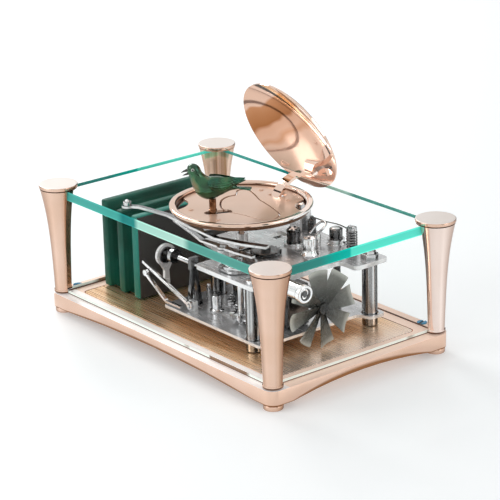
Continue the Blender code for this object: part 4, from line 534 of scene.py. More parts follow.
def turned_gold(name, light, deep, streak, metallic, glow=0.0):
    """Polished gold of the pillars: painted shade on the front ones' side away from the light, and a painted
    dark reflection at its rims.
    """
    made = Finish(name, "rose_gold", Metallic=metallic)
    colour = made.ramp(made.noise(*streak, 2.0), [(0.34, deep), (0.66, light)])
    off = {}
    for axis, reach in (("X", PILLAR_X), ("Y", PILLAR_Y)):
        run = made.along(axis)
        off[axis] = made.maths("MULTIPLY_ADD", made.maths("SIGN", run), -reach * MM, run)
    way = made.node("VectorMath", {0: made.node("CombineXYZ", off)}, operation="NORMALIZE")
    side = made.spread(made.dot(way, (0.628, 0.778, 0.0)), 0.0, 0.62, 0.15, 0.85)
    # Painted shade: the front pillars' side away from the key lamp turns brown.
    colour = made.mix(made.maths("MULTIPLY", side, made.part("Y", 10.0, -10.0)), colour, LEE_SHADE_BROWN)
    ring = made.maths("MULTIPLY", made.part("Z", 8.1, 7.8), made.part("Z", 6.7, 7.0))
    colour = made.mix(ring, colour, LINE_BROWN)
    # Painted dark reflection at the rims, where the surface turns away from view.
    turned_away = made.node("LayerWeight", {"Blend": 0.5}, "Facing")
    made.glow(colour, glow)
    rim_reflected = made.mix(made.spread(turned_away, 0.0, 0.9, 0.24, 0.86), colour, RIM_REFLECTION_BROWN)
    return made.coat(rim_reflected, (made.noise(700.0), 0.05, 0.12))


ROSE_ROUND = turned_gold("rose_gold_turned", GOLD_LIGHT, GOLD_DEEP, EVEN, 0.8)
# Painted reflections on the back pillars: upright stripes with a faint glow stand for the bellows, and a
# paler gold for the pale room.
ROSE_BELLOWS_REFLECTION = turned_gold("rose_gold_bellows_reflection", (0.95, 0.70, 0.56), (0.48, 0.26, 0.13), UPRIGHT_REFLECTION_STREAK, 0.0, 0.25)
ROSE_ROOM_REFLECTION = turned_gold("rose_gold_room_reflection", (0.97, 0.82, 0.75), (0.93, 0.76, 0.68), EVEN, 0.8)
COAT_OF = {"back_left": ROSE_BELLOWS_REFLECTION, "back_right": ROSE_ROOM_REFLECTION}
ROSE_SATIN = metal(
    "rose_gold_satin", "rose_gold", (0.80, 0.57, 0.44), (0.75, 0.51, 0.38), (0.18, 0.26), 1500.0,
    strength=0.04, metallic=0.4,
)
# Painted light: the paler coat of the caps' flat tops, which look up into the white room.
ROSE_TOP_LIGHT = metal(
    "rose_gold_top_light", "rose_gold", (0.92, 0.85, 0.80), (0.88, 0.80, 0.74), (0.34, 0.44), 1500.0,
    strength=0.03, metallic=0.35,
)
MIRROR = metal(
    "rose_gold_mirror", "mirror_rose_gold", (0.90, 0.69, 0.58), (0.84, 0.61, 0.49), (0.02, 0.05), 400.0,
    strength=0.01,
)

# %% [markdown]
# The base plate is brushed copper, with painted light that makes it paler towards one end. The ledge of the
# frame is a pale gold with a faint glow and a painted highlight, palest along the front. The movement is
# nickel and steel: satin plates with a painted highlight on their edges, polished parts with painted dark
# reflections at their rims, and posts whose mirror image is painted as upright bands.

# %% Copper, bronze, ledge, nickel and steel
made = Finish("brushed_copper", "brushed_copper", Metallic=0.7)
strokes = made.noise(2400.0, (0.014, 1.0, 1.0), 3.0, 0.6)
worn = made.ramp(strokes, [
    (0.30, (0.46, 0.22, 0.07)), (0.52, (0.96, 0.60, 0.33)), (0.70, (1.0, 0.84, 0.62)),
])
# Painted light: the plate turns paler towards its +X end.
painted_light_end = made.spread(made.part("X", 38.0, 54.0), 0.0, 0.8, 0.0, 1.0)
plate = made.mix(painted_light_end, worn, (0.97, 0.82, 0.73))
COPPER = made.coat(plate, (strokes, 0.22, 0.34), (strokes, 0.1, 0.01))
BRONZE = metal(
    "dark_bronze", "rose_gold", (0.34, 0.19, 0.11), (0.12, 0.06, 0.03), (0.10, 0.20), cloud=500.0,
    strength=0.05,
)
NICKEL = metal(
    "satin_nickel", "satin_nickel", (0.82, 0.82, 0.83), (0.52, 0.52, 0.53), (0.18, 0.30), 900.0,
    (0.25, 1.0, 1.0), 0.003, 0.08, 160.0, metallic=0.65,
)
# Painted reflection: BRIGHT and STEEL turn dark at their rims, where they turn away from view.
BRIGHT = metal(
    "bright_edge", "polished_steel", (0.97, 0.97, 0.97), (0.88, 0.88, 0.88), (0.10, 0.20), strength=0.03,
    rim=(0.06, 0.06, 0.06),
)
# Painted highlight: a pale coat for the side faces of plates and levers, and for the eccentric strap.
EDGE_HIGHLIGHT = grained("painted_edge_highlight", "polished_steel", (260.0, (0.3, 1.0, 1.0)), [
    (0.32, (0.72, 0.72, 0.72)), (0.50, (0.98, 0.98, 0.98)),
], (0.30, 0.20), Metallic=0.35)
# Painted highlight: the frame's top is near white along the front, and it glows faintly.
made = Finish("rose_gold_ledge", "rose_gold", Metallic=0.25)
ledge = made.ramp(made.part("Y", -31.6, -30.6), [(0.2, (1.00, 0.93, 0.90)), (0.8, (0.88, 0.66, 0.54))])
ROSE_LEDGE_HIGHLIGHT = made.coat(ledge, (made.noise(60.0), 0.34, 0.46), glow=0.22)
STEEL = metal(
    "polished_steel", "polished_steel", (0.82, 0.82, 0.82), (0.42, 0.42, 0.43), (0.06, 0.14), cloud=190.0,
    strength=0.05, rim=(0.03, 0.03, 0.03), rim_share=0.9,
)
DARK_STEEL = metal(
    "dark_steel", "polished_steel", (0.20, 0.20, 0.20), (0.045, 0.045, 0.047), (0.10, 0.20), cloud=190.0,
    strength=0.05,
)
# Painted reflection: upright bands stand for the mirror image on the polished posts.
POST_REFLECTION_STEEL = grained("steel_post_reflection", "polished_steel", (620.0, (1.0, 1.0, 0.015), 2.0, 0.4), [
    (0.36, (0.03, 0.03, 0.03)), (0.46, (0.20, 0.20, 0.20)), (0.56, (0.34, 0.34, 0.34)),
    (0.68, (0.72, 0.72, 0.72)),
], (0.12, 0.22), Metallic=1.0)
BLUE_STEEL = metal("blued_steel", "polished_steel", (0.06, 0.32, 0.52), (0.02, 0.16, 0.30), (0.10, 0.20))
DARK_BROWN = metal("dark_bedding_and_shade", "brushed_copper", (0.20, 0.10, 0.06), (0.10, 0.05, 0.03), (0.3, 0.4))
COIL_STEEL = metal(
    "grey_spring", "polished_steel", (0.42, 0.42, 0.42), (0.18, 0.18, 0.18), (0.12, 0.2), cloud=300.0,
)

# %% [markdown]
# The bellows are dyed kid leather, which has fine pores and a low sheen, and the cut edge of the last board
# is paler. The bird is enamelled: a clear coat over greens that drift to gold. Beak and eyes are dark horn.

# %% Leather, board, enamel and horn
made = Finish("green_kid_leather", "green_leather", Specular_IOR_Level=0.3)
shade = made.ramp(made.noise(90.0, (1.0, 0.5, 0.5)), [
    (0.30, (0.004, 0.055, 0.033)), (0.72, (0.008, 0.150, 0.100)),
])
LEATHER = made.coat(shade, (made.noise(600.0), 0.30, 0.52), (made.cells(1500.0), 0.35, 0.05))
BOARD = grained("grey_board", "grey_board", (350.0, (1.0, 0.3, 1.0), 6.0, 0.7), [
    (0.30, (0.030, 0.029, 0.028)), (0.75, (0.060, 0.058, 0.056)),
], (0.65, 0.90), (0.25, 0.04))
TEAL_LEATHER = grained("teal_leather_edge", "green_leather", (160.0, (1.0, 1.0, 0.3)), [
    (0.30, (0.008, 0.18, 0.135)), (0.72, (0.018, 0.27, 0.21)),
], (0.34, 0.50), Specular_IOR_Level=0.3)
made = Finish("green_enamel", "green_enamel", Metallic=0.7, Coat_Weight=0.6, Coat_Roughness=0.05)
plumes = made.cells(700.0, (1.0, 1.0, 1.5))
sheen = made.ramp(made.noise(130.0, (1.0, 1.0, 0.6), 2.0), [
    (0.30, (0.003, 0.035, 0.016)), (0.42, (0.006, 0.110, 0.062)), (0.52, (0.014, 0.060, 0.022)),
    (0.60, (0.030, 0.140, 0.055)), (0.70, (0.240, 0.160, 0.070)),
])
ENAMEL = made.coat(sheen, (plumes, 0.07, 0.15, 0.0, 0.6), (plumes, 0.06, 0.04))
made = Finish("dark_horn", "dark_horn")
shade = made.ramp(made.noise(500.0), [(0.3, (0.010, 0.012, 0.011)), (0.7, (0.045, 0.042, 0.036))])
HORN = made.coat(shade, (made.noise(900.0), 0.18, 0.34))
made = Finish("eye_white", "dark_horn", Roughness=0.25)
WHITE = made.coat(made.ramp(made.noise(700.0), [(0.3, (0.62, 0.62, 0.58)), (0.7, (0.80, 0.80, 0.77))]))

# %% [markdown]
# ## Glass
# Plate glass is nearly unseen from the front and deep green at its cut edges, because light runs inside
# the pane and comes out there. Two finishes share a pane: a clear one for the faces, which mixes clear
# film with a thin gloss by the angle of view, and a coloured one for the edges, whose colour runs along
# the edge as it does in the photograph.


# %% Glass finishes
def clear_glass():
    """Clear film with a gloss that grows as the face is seen more from the side: 0.001 + 0.02 facing^5."""
    made = Finish("clear_glass_face", "clear_glass", Metallic=1.0)
    made.shader.inputs["Base Color"].default_value = (0.94, 0.98, 0.97, 1.0)
    made.wire("Roughness", made.spread(made.noise(45.0, detail=2.0), 0.01, 0.04))
    film = made.node("BsdfTransparent", {"Color": (0.996, 0.999, 0.998, 1.0)}, "BSDF")
    facing_side = made.node("LayerWeight", {"Blend": 0.5}, "Facing")
    steep = made.maths("POWER", facing_side, 5.0)
    share = made.maths("MULTIPLY_ADD", steep, 0.02, 0.001)
    mixed = made.node("MixShader", {"Fac": share, 1: film, 2: made.shader.outputs["BSDF"]}, "Shader")
    made.links.new(mixed, made.nodes["Material Output"].inputs["Surface"])
    return made.material


def edge_glass(name, axis, low, high, stops, glow):
    """Cut glass edge: green runs along one axis from outside; from inside only a thin upper band shows."""
    made = Finish(name, "clear_glass", Roughness=0.06, Specular_IOR_Level=0.08)
    rise = made.part("Z", PANE_LOW, PANE_TOP)
    # Painted light: brighter lines near the foot and the top of each edge.
    lines = made.ramp(rise, [
        (0.00, (1.5, 1.5, 1.5)), (0.10, (1.3, 1.3, 1.3)), (0.16, (0.95, 0.95, 0.95)),
        (0.78, (0.92, 0.92, 0.92)), (0.90, (1.2, 1.2, 1.2)),
    ])
    body = made.mix(1.0, made.ramp(made.part(axis, low, high), stops), lines, blend_type="MULTIPLY")
    made.coat(body, (made.noise(300.0, (0.1, 0.1, 1.0)), 0.04, 0.16), glow=glow)
    film = made.node("BsdfTransparent", {"Color": (0.97, 0.99, 0.985, 1.0)}, "BSDF")
    inside = made.node("NewGeometry", {}, "Backfacing")
    share = made.maths("MULTIPLY", inside, made.maths("LESS_THAN", rise, 0.62))
    mixed = made.node("MixShader", {"Fac": share, 1: made.shader.outputs["BSDF"], 2: film}, "Shader")
    made.links.new(mixed, made.nodes["Material Output"].inputs["Surface"])
    return made.material


PANE_LOW, PANE_TOP = 42.1, 45.5
GLASS = clear_glass()
# The pale and dark bands along each edge are painted reflections, and the edges glow faintly.
EDGE_X = edge_glass("glass_edge_long", "X", -57.0, 57.0, [
    (0.00, (0.07, 0.39, 0.34)), (0.30, (0.05, 0.37, 0.32)), (0.33, (0.005, 0.20, 0.19)),
    (0.385, (0.01, 0.24, 0.22)), (0.405, (0.36, 0.68, 0.58)), (0.62, (0.44, 0.70, 0.61)),
    (0.65, (0.09, 0.33, 0.28)), (1.00, (0.08, 0.32, 0.27)),
], 0.22)
EDGE_Y = edge_glass("glass_edge_short", "Y", -35.0, 35.0, [
    (0.00, (0.035, 0.17, 0.145)), (0.30, (0.03, 0.24, 0.21)), (0.38, (0.0, 0.38, 0.31)),
    (0.475, (0.0, 0.46, 0.38)), (0.485, (0.09, 0.74, 0.58)), (1.00, (0.12, 0.76, 0.62)),
], 0.25)
print("glass", GLASS.name, EDGE_X.name, EDGE_Y.name)

# %% [markdown]
# ## The case
# The four pillars carry the look of the case: a thin foot that swells into a trumpet under a flat cap,
# with a notch down the inner side where the panes stand. A lathe can't cut the notch, so the section is
# drawn once as an arc and two straight edges, and only its radius changes on the way up. At the very top
# the section closes to a full circle under the cap.

# %% Pillars
NOTCH_X, NOTCH_Y, NOTCH_TOP = -0.3, 0.6, 45.52


def pillar_radius(z):
    """3.15 + 3.4 (0.34 s + 0.66 s^3.4), with s from 0 at 8.5 mm to 1 at 45.55 mm."""
    s = np.clip((z - 8.5) / 37.05, 0.0, 1.0)
    return 3.15 + 3.4 * (0.34 * s + 0.66 * s**3.4)


def pillar(side_x, side_y):
    """Rows of an arc and two notch edges; the lowest five are the bead, the last three are full circles."""
    heights = np.concatenate([
        [7.4, 7.55, 7.9, 8.3, 8.42], np.linspace(8.5, NOTCH_TOP, 60), [NOTCH_TOP, 45.54, 45.55],
    ])
    radii = pillar_radius(heights)
    radii[:5] = (3.25, 3.4, 3.44, 3.4, 3.25)
    arc_steps, edge_steps = 56, 8
    start = np.arctan2(-np.sqrt(radii**2 - NOTCH_X**2), NOTCH_X)
    end = np.arctan2(NOTCH_Y, -np.sqrt(radii**2 - NOTCH_Y**2))
    share = np.linspace(0.0, 1.0, arc_steps)[None]
    angle = start[:, None] * (1 - share) + end[:, None] * share
    arc = np.stack([radii[:, None] * np.cos(angle), radii[:, None] * np.sin(angle)], axis=-1)
    corner = np.array([NOTCH_X, NOTCH_Y])
    inward = np.linspace(0.0, 1.0, edge_steps + 1)[None, 1:, None]
    first = arc[:, -1:] * (1 - inward) + corner * inward
    back = corner * (1 - inward[:, :-1]) + arc[:, :1] * inward[:, :-1]
    notched = np.concatenate([arc, first, back], axis=1)
    rest = np.linspace(0.0, 1.0, 2 * edge_steps + 1)[None, 1:-1]
    missing = end[:, None] * (1 - rest) + (start[:, None] + 2 * np.pi) * rest
    bow = np.stack([radii[:, None] * np.cos(missing), radii[:, None] * np.sin(missing)], axis=-1)
    full = np.concatenate([arc, bow], axis=1)
    high = np.arange(len(heights)) >= len(heights) - 3
    plan = np.where(high[:, None, None], full, notched)
    columns = plan.shape[1]
    z = np.broadcast_to(heights[:, None], (len(heights), columns))
    points = np.stack([side_x * (PILLAR_X + plan[..., 0]), side_y * (PILLAR_Y + plan[..., 1]), z], axis=-1)
    return points.reshape(-1, 3), grid(len(heights), columns), end_caps(len(heights), columns)


print("pillar points", len(pillar(1, 1)[0]))

# %% [markdown]
# Caps and feet are turned forms with rounded rims. The flat top of a cap has a paler coat than its rim,
# painted light for the white room that it looks up into.

# %% Caps, feet and the four corners
CAP = [
    (0, 45.85), (6.4, 45.85), (6.56, 45.86), (6.72, 45.95), (6.8, 46.15), (6.8, 46.8), (6.77, 46.93),
    (6.68, 47.04), (6.55, 47.09), (6.4, 47.1), (6.2, 47.1), (0, 47.1),
]
FOOT = [
    (0, 0), (2.8, 0), (2.95, 0.01), (3.2, 0.1), (3.3, 0.35), (3.3, 1.45), (3.2, 1.7), (2.95, 1.79),
    (2.8, 1.8), (0, 1.8),
]
for label, side_x, side_y in (
    ("front_left", -1, -1), ("front_right", 1, -1), ("back_left", -1, 1), ("back_right", 1, 1),
):
    spot = (side_x * PILLAR_X, side_y * PILLAR_Y, 0.0)
    coat = COAT_OF.get(label, ROSE_ROUND)
    rebuild("trumpet_" + label, pillar(side_x, side_y), coat, ["pillar_" + label], edge=0.1)
    cap, coats = turned(CAP, spot, sides=96), [ROSE_ROUND, ROSE_TOP_LIGHT]
    two_coats(rebuild("flat_cap_" + label, cap, coats, ["pillar_cap_" + label], crease=50.0), 2, 0.9)
    rebuild("round_foot_" + label, turned(FOOT, spot), ROSE_ROUND, ["foot_" + label], crease=50.0)
print("corners at", PILLAR_X, PILLAR_Y)

# %% [markdown]
# The base frame is a cast ring with arches between the feet, and the base plate lies in its rebate. Both
# have plain flat sides, so their solids are refined: the copy is merged and its edges are rolled over,
# because a real edge always catches a thin line of light. The lower lip of each arch would mirror the dark
# ground under the case, so the finish works out the arch's curve and paints a brown reflection just above
# it.

# %% Base frame and base plate
FRAME_FOOT, LIP = 2.1, 0.35


def arch_lip(made, axis, run, rise, share):
    """1 on the edge of an arch rise (1 - (u / run)^2) high, falling to 0 over a share of its height."""
    u = made.along(axis)
    bow = made.maths("MULTIPLY", u, u)
    crest = made.maths("MULTIPLY_ADD", bow, -rise / (run * run * MM), rise * MM, clamp=True)
    height = made.maths("SUBTRACT", made.along("Z"), FRAME_FOOT * MM)
    band = made.maths("MULTIPLY_ADD", crest, share, LIP * MM)
    ratio = made.maths("DIVIDE", made.maths("SUBTRACT", height, crest), band, clamp=True)
    return made.spread(ratio, 1.0, 0.0, 0.45, 1.0)


made = Finish("rose_gold_cast", "rose_gold", Metallic=0.95)
on_side = made.spread(made.maths("ABSOLUTE", made.along("X")), 0.0, 1.0, 60.6 * MM, 61.2 * MM)
front_lip, side_lip = arch_lip(made, "X", 52.7, 2.0, 0.30), arch_lip(made, "Y", 29.7, 2.6, 0.62)
lip_reflection = made.node("Mix", {"Factor": on_side, "A": front_lip, "B": side_lip})
clouds = made.ramp(made.noise(70.0, detail=2.0), [(0.30, GOLD_DEEP), (0.72, GOLD_LIGHT)])
# Painted reflection: brown just above the lower edge of each arch.
CAST = made.coat(made.mix(lip_reflection, clouds, (0.34, 0.15, 0.06)), (made.noise(700.0), 0.05, 0.12))
# The frame's top faces take the painted ledge highlight.
two_coats(refine("base_frame", [CAST, ROSE_LEDGE_HIGHLIGHT], 0.7, 4), 2, 0.9)
refine("base_plate", COPPER, 0.12)
print("frame foot at", FRAME_FOOT)

# %% [markdown]
# The side panes are plain sheets. The thick top pane has a round hole for the stage, so it is drawn as four
# closed rows of points: the outer edge low and high, then the hole high and low.


# %% Panes
def slab(low, high):
    """A plain block between two corners, as an outline pushed up."""
    outline = [(low[0], low[1]), (high[0], low[1]), (high[0], high[1]), (low[0], high[1])]
    return pushed(outline, low[2], high[2])


def glazed(piece, hole):
    """The outer cut edges take the colour that runs along them; the faces and the hole stay clear."""
    normals, middles = np.abs(of_faces(piece, "normal")), of_faces(piece, "center")
    outer = (normals[:, 2] < 0.7) & (np.hypot(middles[:, 0], middles[:, 1]) > (hole + 1.0) * MM)
    return coat_faces(piece, np.where(outer, np.where(normals[:, 1] > normals[:, 0], 1, 2), 0))


GLASS_X, GLASS_Y, PANE_THICK, HOLE_R = 57.4, 35.3, 3.0, 23.5
SIDE_FOOT, SIDE_TOP, SIDE_Y = 7.4, 41.8, 32.0
for side, label in ((-1, "front"), (1, "back")):
    near, far = sorted((side * (GLASS_Y - PANE_THICK), side * GLASS_Y))
    pane = slab((-GLASS_X, near, SIDE_FOOT), (GLASS_X, far, SIDE_TOP))
    rebuild("glass_" + label, pane, GLASS, ["pane_" + label], edge=0.25)
for side, label in ((-1, "left"), (1, "right")):
    near, far = sorted((side * (GLASS_X - PANE_THICK), side * GLASS_X))
    pane = slab((near, -SIDE_Y, SIDE_FOOT), (far, SIDE_Y, SIDE_TOP))
    rebuild("glass_" + label, pane, GLASS, ["pane_" + label], edge=0.25)


def holed_slab(half_x, half_y, hole, low, high, sides=192):
    """A block with a round hole: four closed rows, outer low, outer high, hole high, hole low."""
    corner = math.atan2(half_y, half_x)
    corners = [corner, math.pi - corner, math.pi + corner, 2 * math.pi - corner]
    t = np.unique(np.concatenate([np.linspace(0, 2 * np.pi, sides, endpoint=False), corners]))
    ring = np.column_stack([np.cos(t), np.sin(t)])
    outer = ring / np.maximum(np.abs(ring[:, :1]) / half_x, np.abs(ring[:, 1:]) / half_y)
    rows = [(outer, low), (outer, high), (hole * ring, high), (hole * ring, low)]
    points = np.concatenate([np.column_stack([plan, np.full(len(t), z)]) for plan, z in rows])
    return points, grid(4, len(t), close_rows=True), []


top = holed_slab(GLASS_X, GLASS_Y, HOLE_R, PANE_LOW, PANE_TOP)
glazed(rebuild("glass_top", top, [GLASS, EDGE_X, EDGE_Y], ["pane_top"], edge=0.3), HOLE_R)
print("panes done")

# %% [markdown]
# The panes stand on a thin dark bed, which shows as a fine line along the foot of each one. The lowest strip
# of the glass is painted pale with a faint glow, for light from inside, and here and there has a painted
# reflection of the brown plate.

# %% Beds and feet of the panes
BED_LOW, BED_TOP, BED_INSET = 7.05, 7.38, 0.5
BED = np.array([(-GLASS_X, -GLASS_Y), (GLASS_X, -GLASS_Y), (GLASS_X, GLASS_Y), (-GLASS_X, GLASS_Y)])
inside = BED * (1 - BED_INSET / np.array([GLASS_X, GLASS_Y]))
bed_rows = [(BED, BED_LOW), (BED, BED_TOP), (inside, BED_TOP), (inside, BED_LOW)]
bed = np.concatenate([np.column_stack([plan, np.full(4, z)]) for plan, z in bed_rows])
rebuild("pane_bed", (bed, grid(4, 4, close_rows=True), []), DARK_BROWN, body="case")
# Painted light and painted reflection: a glowing pale strip with brown patches at the foot of the glass.
made = Finish("glass_foot_painted_light", "clear_glass", Roughness=0.2)
FOOT_GLASS_PAINTED_LIGHT = made.coat(made.ramp(made.noise(38.0, (1.0, 1.0, 0.1), 2.0), [
    (0.40, (0.82, 0.90, 0.84)), (0.52, (0.82, 0.90, 0.84)), (0.545, (0.20, 0.11, 0.05)),
    (0.66, (0.36, 0.24, 0.15)),
]), glow=0.2)
STRIP, STRIP_TOP, STRIP_X, STRIP_Y = 0.03, 8.3, 57.2, 31.9
feet = [slab((-STRIP_X, -GLASS_Y - STRIP, SIDE_FOOT), (STRIP_X, -GLASS_Y + STRIP, STRIP_TOP))]
for x in (-GLASS_X, GLASS_X):
    feet.append(slab((x - STRIP, -STRIP_Y, SIDE_FOOT), (x + STRIP, STRIP_Y, STRIP_TOP)))
rebuild("pane_feet_painted_light", joined(*feet), FOOT_GLASS_PAINTED_LIGHT, body="case")
print("pane feet", len(feet))

# %% [markdown]
# ## The stage
# A turned bezel lines the hole in the top pane and carries the stage plate on its ledge. A painted highlight
# makes it near white on the side that looks to the pale room, and its wall below the pane takes a dark coat,
# painted shade.

# %% Bezel
BEZEL = [
    (21.95, 45.7), (22.0, 46.1), (22.25, 46.38), (22.7, 46.5), (23.8, 46.5), (24.2, 46.38), (24.4, 46.1),
    (24.4, 45.6), (23.2, 45.55), (23.2, 44.0), (21.5, 44.0), (21.5, 44.4), (21.95, 44.4),
]
made = Finish("rose_gold_ring", "rose_gold", Metallic=0.95)
# Painted highlight: the side towards the pale room turns near white.
painted_highlight = made.spread(made.dot(made.place, (0.75, 0.66, 0.0)), 0.0, 1.0, 0.008, 0.022)
RING = made.coat(made.ramp(painted_highlight, [
    (0.0, (0.84, 0.61, 0.49)), (0.55, (0.88, 0.68, 0.57)), (0.75, (1.0, 0.94, 0.90)),
    (1.0, (1.0, 0.95, 0.92)),
]), (made.noise(700.0), 0.05, 0.10))
bezel = turned(BEZEL, sides=192, closed=True)
bezel = rebuild("turned_bezel", bezel, [RING, DARK_BROWN], ["bezel_ring"], crease=40.0)
# Painted shade: the wall below the pane takes the dark coat.
coat_faces(bezel, of_faces(bezel, "center")[:, 2] < 45.57 * MM)
print("bezel done")

# %% [markdown]
# The trap is cut in the stage plate, and a thin dark sheet under it, painted shade, shows as the line round
# it. Two crescents at the plate's edge are open to the movement. They are a little deeper than in the solid,
# as the photograph shows them, and only the points of their inner arcs move.

# %% Stage plate and trap
CRESCENT_R, CRESCENT_REACH, CRESCENT_HALF, DEEPER = 12.0, 31.5, 7.0, 1.4
STAGE_FOOT, STAGE_TOP = 44.5, 45.2


def wider_crescents(points):
    """The inner arc of each crescent cut-out moves in by 1.4 mm at its middle and not at all at its ends."""
    moved_points = points.copy()
    for angle in np.radians((-136.0, 46.0)):
        way = np.array([np.cos(angle), np.sin(angle)])
        off = points[:, :2] - CRESCENT_REACH * way
        on_arc = np.abs(np.hypot(off[:, 0], off[:, 1]) - CRESCENT_R) < 0.06
        across = off @ np.array([-way[1], way[0]])
        push = DEEPER * np.clip(1.0 - (across / CRESCENT_HALF) ** 2, 0.0, 1.0) * on_arc
        moved_points[:, :2] -= push[:, None] * way
    return moved_points


def sized_trap(factor, low=STAGE_FOOT, high=STAGE_TOP):
    """Draws the flap's plate in or out about its middle, between two heights; its stem stays as it is."""
    def reshape(points):
        """Moves the points of the plate and leaves those of the stem."""
        plate = points[:, 2] > STAGE_FOOT - 0.05
        middle = 0.5 * (points[plate, :2].min(axis=0) + points[plate, :2].max(axis=0))
        points[plate, :2] = middle + (points[plate, :2] - middle) * factor
        points[plate, 2] = np.interp(points[plate, 2], (STAGE_FOOT, STAGE_TOP), (low, high))
        return points
    return reshape


refine("stage_plate", ROSE_SATIN, 0.12, reshape=wider_crescents)
refine("stage_flap", ROSE_SATIN, 0.12, reshape=sized_trap(0.975))
# Painted shade: a dark sheet under the trap shows as the line round it.
refine("stage_flap", DARK_BROWN, 0.0, reshape=sized_trap(1.03, 44.38, 44.46), name="trap_shade_sheet")
refine("pivot_bracket", NICKEL, 0.1)
refine("bird_carriage", STEEL, 0.1)
print("stage done")

# %% [markdown]
# A slotted head is a disc with two half moons on it, and the slot is the room between them. Four of these
# screws hold the stage, and two blued ones hold the frame near opposite corners.


# %% Slotted screws
def half_moon(radius, gap, low, high, steps=18):
    """One cheek of a slotted screw head: an arc closed by its chord."""
    edge = math.asin(gap / radius)
    t = np.linspace(edge, np.pi - edge, steps)
    return pushed(np.column_stack([radius * np.cos(t), radius * np.sin(t)]), low, high)


def slotted_head(place, radius, low, high, turn=30.0, gap=0.18, deep=0.35):
    """A screw head: a disc with two cheeks on it, the slot left open between them."""
    base = turned([(0, low), (radius, low), (radius, high - deep), (0, high - deep)], sides=40)
    cheek = half_moon(radius, gap * radius, high - deep - 0.02, high)
    other = moved(cheek, degrees=180.0)
    return moved(joined(base, cheek, other), (place[0], place[1], 0.0), turn)


STAGE_SCREWS = ((-7.6, -15.6, 20.0), (6.9, -15.3, 75.0), (-7.9, 15.0, 40.0), (7.0, 14.8, 10.0))
heads = [slotted_head((x, y), 0.85, 45.28, 45.52, angle) for x, y, angle in STAGE_SCREWS]
rebuild("stage_screws", joined(*heads), ROSE_SATIN, body="case", edge=0.05)
BLUE_SCREWS = ((-59.5, -28.0, 1.8, 50.0), (49.4, 37.0, 1.7, 110.0))
heads = [slotted_head((x, y), radius, 7.08, 7.45, angle, 0.22) for x, y, radius, angle in BLUE_SCREWS]
rebuild("frame_screws", joined(*heads), BLUE_STEEL, body="case", edge=0.08)
print("slotted screws", len(STAGE_SCREWS) + len(BLUE_SCREWS))

# %% [markdown]
# ## The bird
# The bird is a loft: oval sections stand square to a line that runs from the tail through the back and
# turns up the neck into the head. Each section is written as its place, half height, half width and lean.

# %% Bird body and beak
POST_X, POST_Y, HEADING = -0.3, -11.9, 231.0
SECTIONS = np.array([
    (-8.6, 54.0, 0.05, 0.05, 8), (-8.3, 54.0, 0.6, 0.9, 8), (-7.2, 54.4, 1.2, 1.5, 9),
    (-5.4, 55.0, 2.2, 2.2, 9), (-2.8, 54.7, 3.2, 2.9, 4), (0.4, 54.0, 4.0, 3.5, -8),
    (2.9, 54.8, 3.7, 3.4, -34), (4.3, 56.8, 2.9, 2.8, -58), (5.2, 58.7, 2.3, 2.25, -74),
    (5.8, 60.0, 2.35, 2.25, -84), (6.0, 61.1, 2.15, 2.1, -90), (6.1, 62.0, 1.5, 1.5, -92),
    (6.1, 62.45, 0.6, 0.6, -92), (6.1, 62.55, 0.02, 0.02, -92),
])


def on_bird(surface):
    """Puts a form drawn with the bird looking along +X onto its tube."""
    return moved(surface, (POST_X, POST_Y, 0.0), HEADING)


def bird_loft(rows=110, sides=40):
    """A section's points: x + rise sin(lean), width sin(a), z + rise cos(lean); rise is height cos(a)."""
    x, z, height, width, lean = curve_through(SECTIONS, rows).T[:, :, None]
    a = np.linspace(0.0, 2.0 * np.pi, sides, endpoint=False)[None]
    rise, half = np.maximum(height, 0.02) * np.cos(a), np.maximum(width, 0.02) * np.sin(a)
    lean = np.radians(lean)
    points = np.stack([x + rise * np.sin(lean), half, z + rise * np.cos(lean)], axis=-1)
    return points.reshape(-1, 3), grid(rows, sides), end_caps(rows, sides)


def beak_half(base, tip, radius, droop):
    """A cone whose axis bends down by the droop at its tip."""
    s = np.linspace(0.0, 1.0, 14)[:, None]
    path = np.array(base) * (1 - s) + np.array(tip) * s + np.array([0, 0, 1.0]) * droop * s * (1 - s)
    return swept(path, radius * (1 - s[:, 0]) ** 0.8 + 0.06, 16, (0, 1, 0))


rebuild("bird_figure", on_bird(bird_loft()), ENAMEL, ["bird_body"], crease=60.0)
upper = beak_half((7.3, 0, 60.4), (10.2, 0, 59.5), 0.62, 0.7)
rebuild("bird_upper_beak", on_bird(upper), HORN, body="bird", crease=60.0)
lower = beak_half((7.5, 0, 59.3), (9.7, 0, 58.5), 0.46, -0.1)
rebuild("bird_lower_beak", on_bird(lower), HORN, ["lower_beak"])
print("bird sections", len(SECTIONS))

# %% [markdown]
# A wing is a thin shell. Its outer side bulges, rows of feathers ripple the far half, and its tip is turned
# in towards the tail. The tail itself is a flat fan.

# %% Wings and tail
WING_TOP = [(2.2, 56.9), (1.5, 58.0), (-2.0, 58.4), (-6.0, 58.2), (-10.6, 57.7)]
WING_LOW = [(2.2, 56.5), (1.2, 54.6), (-2.2, 53.3), (-6.2, 54.9), (-10.6, 57.4)]
WING_TURN, WING_DROP = {1.0: 11.5, -1.0: 17.5}, {1.0: 0.0, -1.0: 1.1}
WING_IN, WING_OUT, BULGE, RIPPLE = 3.75, 3.78, 0.72, 0.09


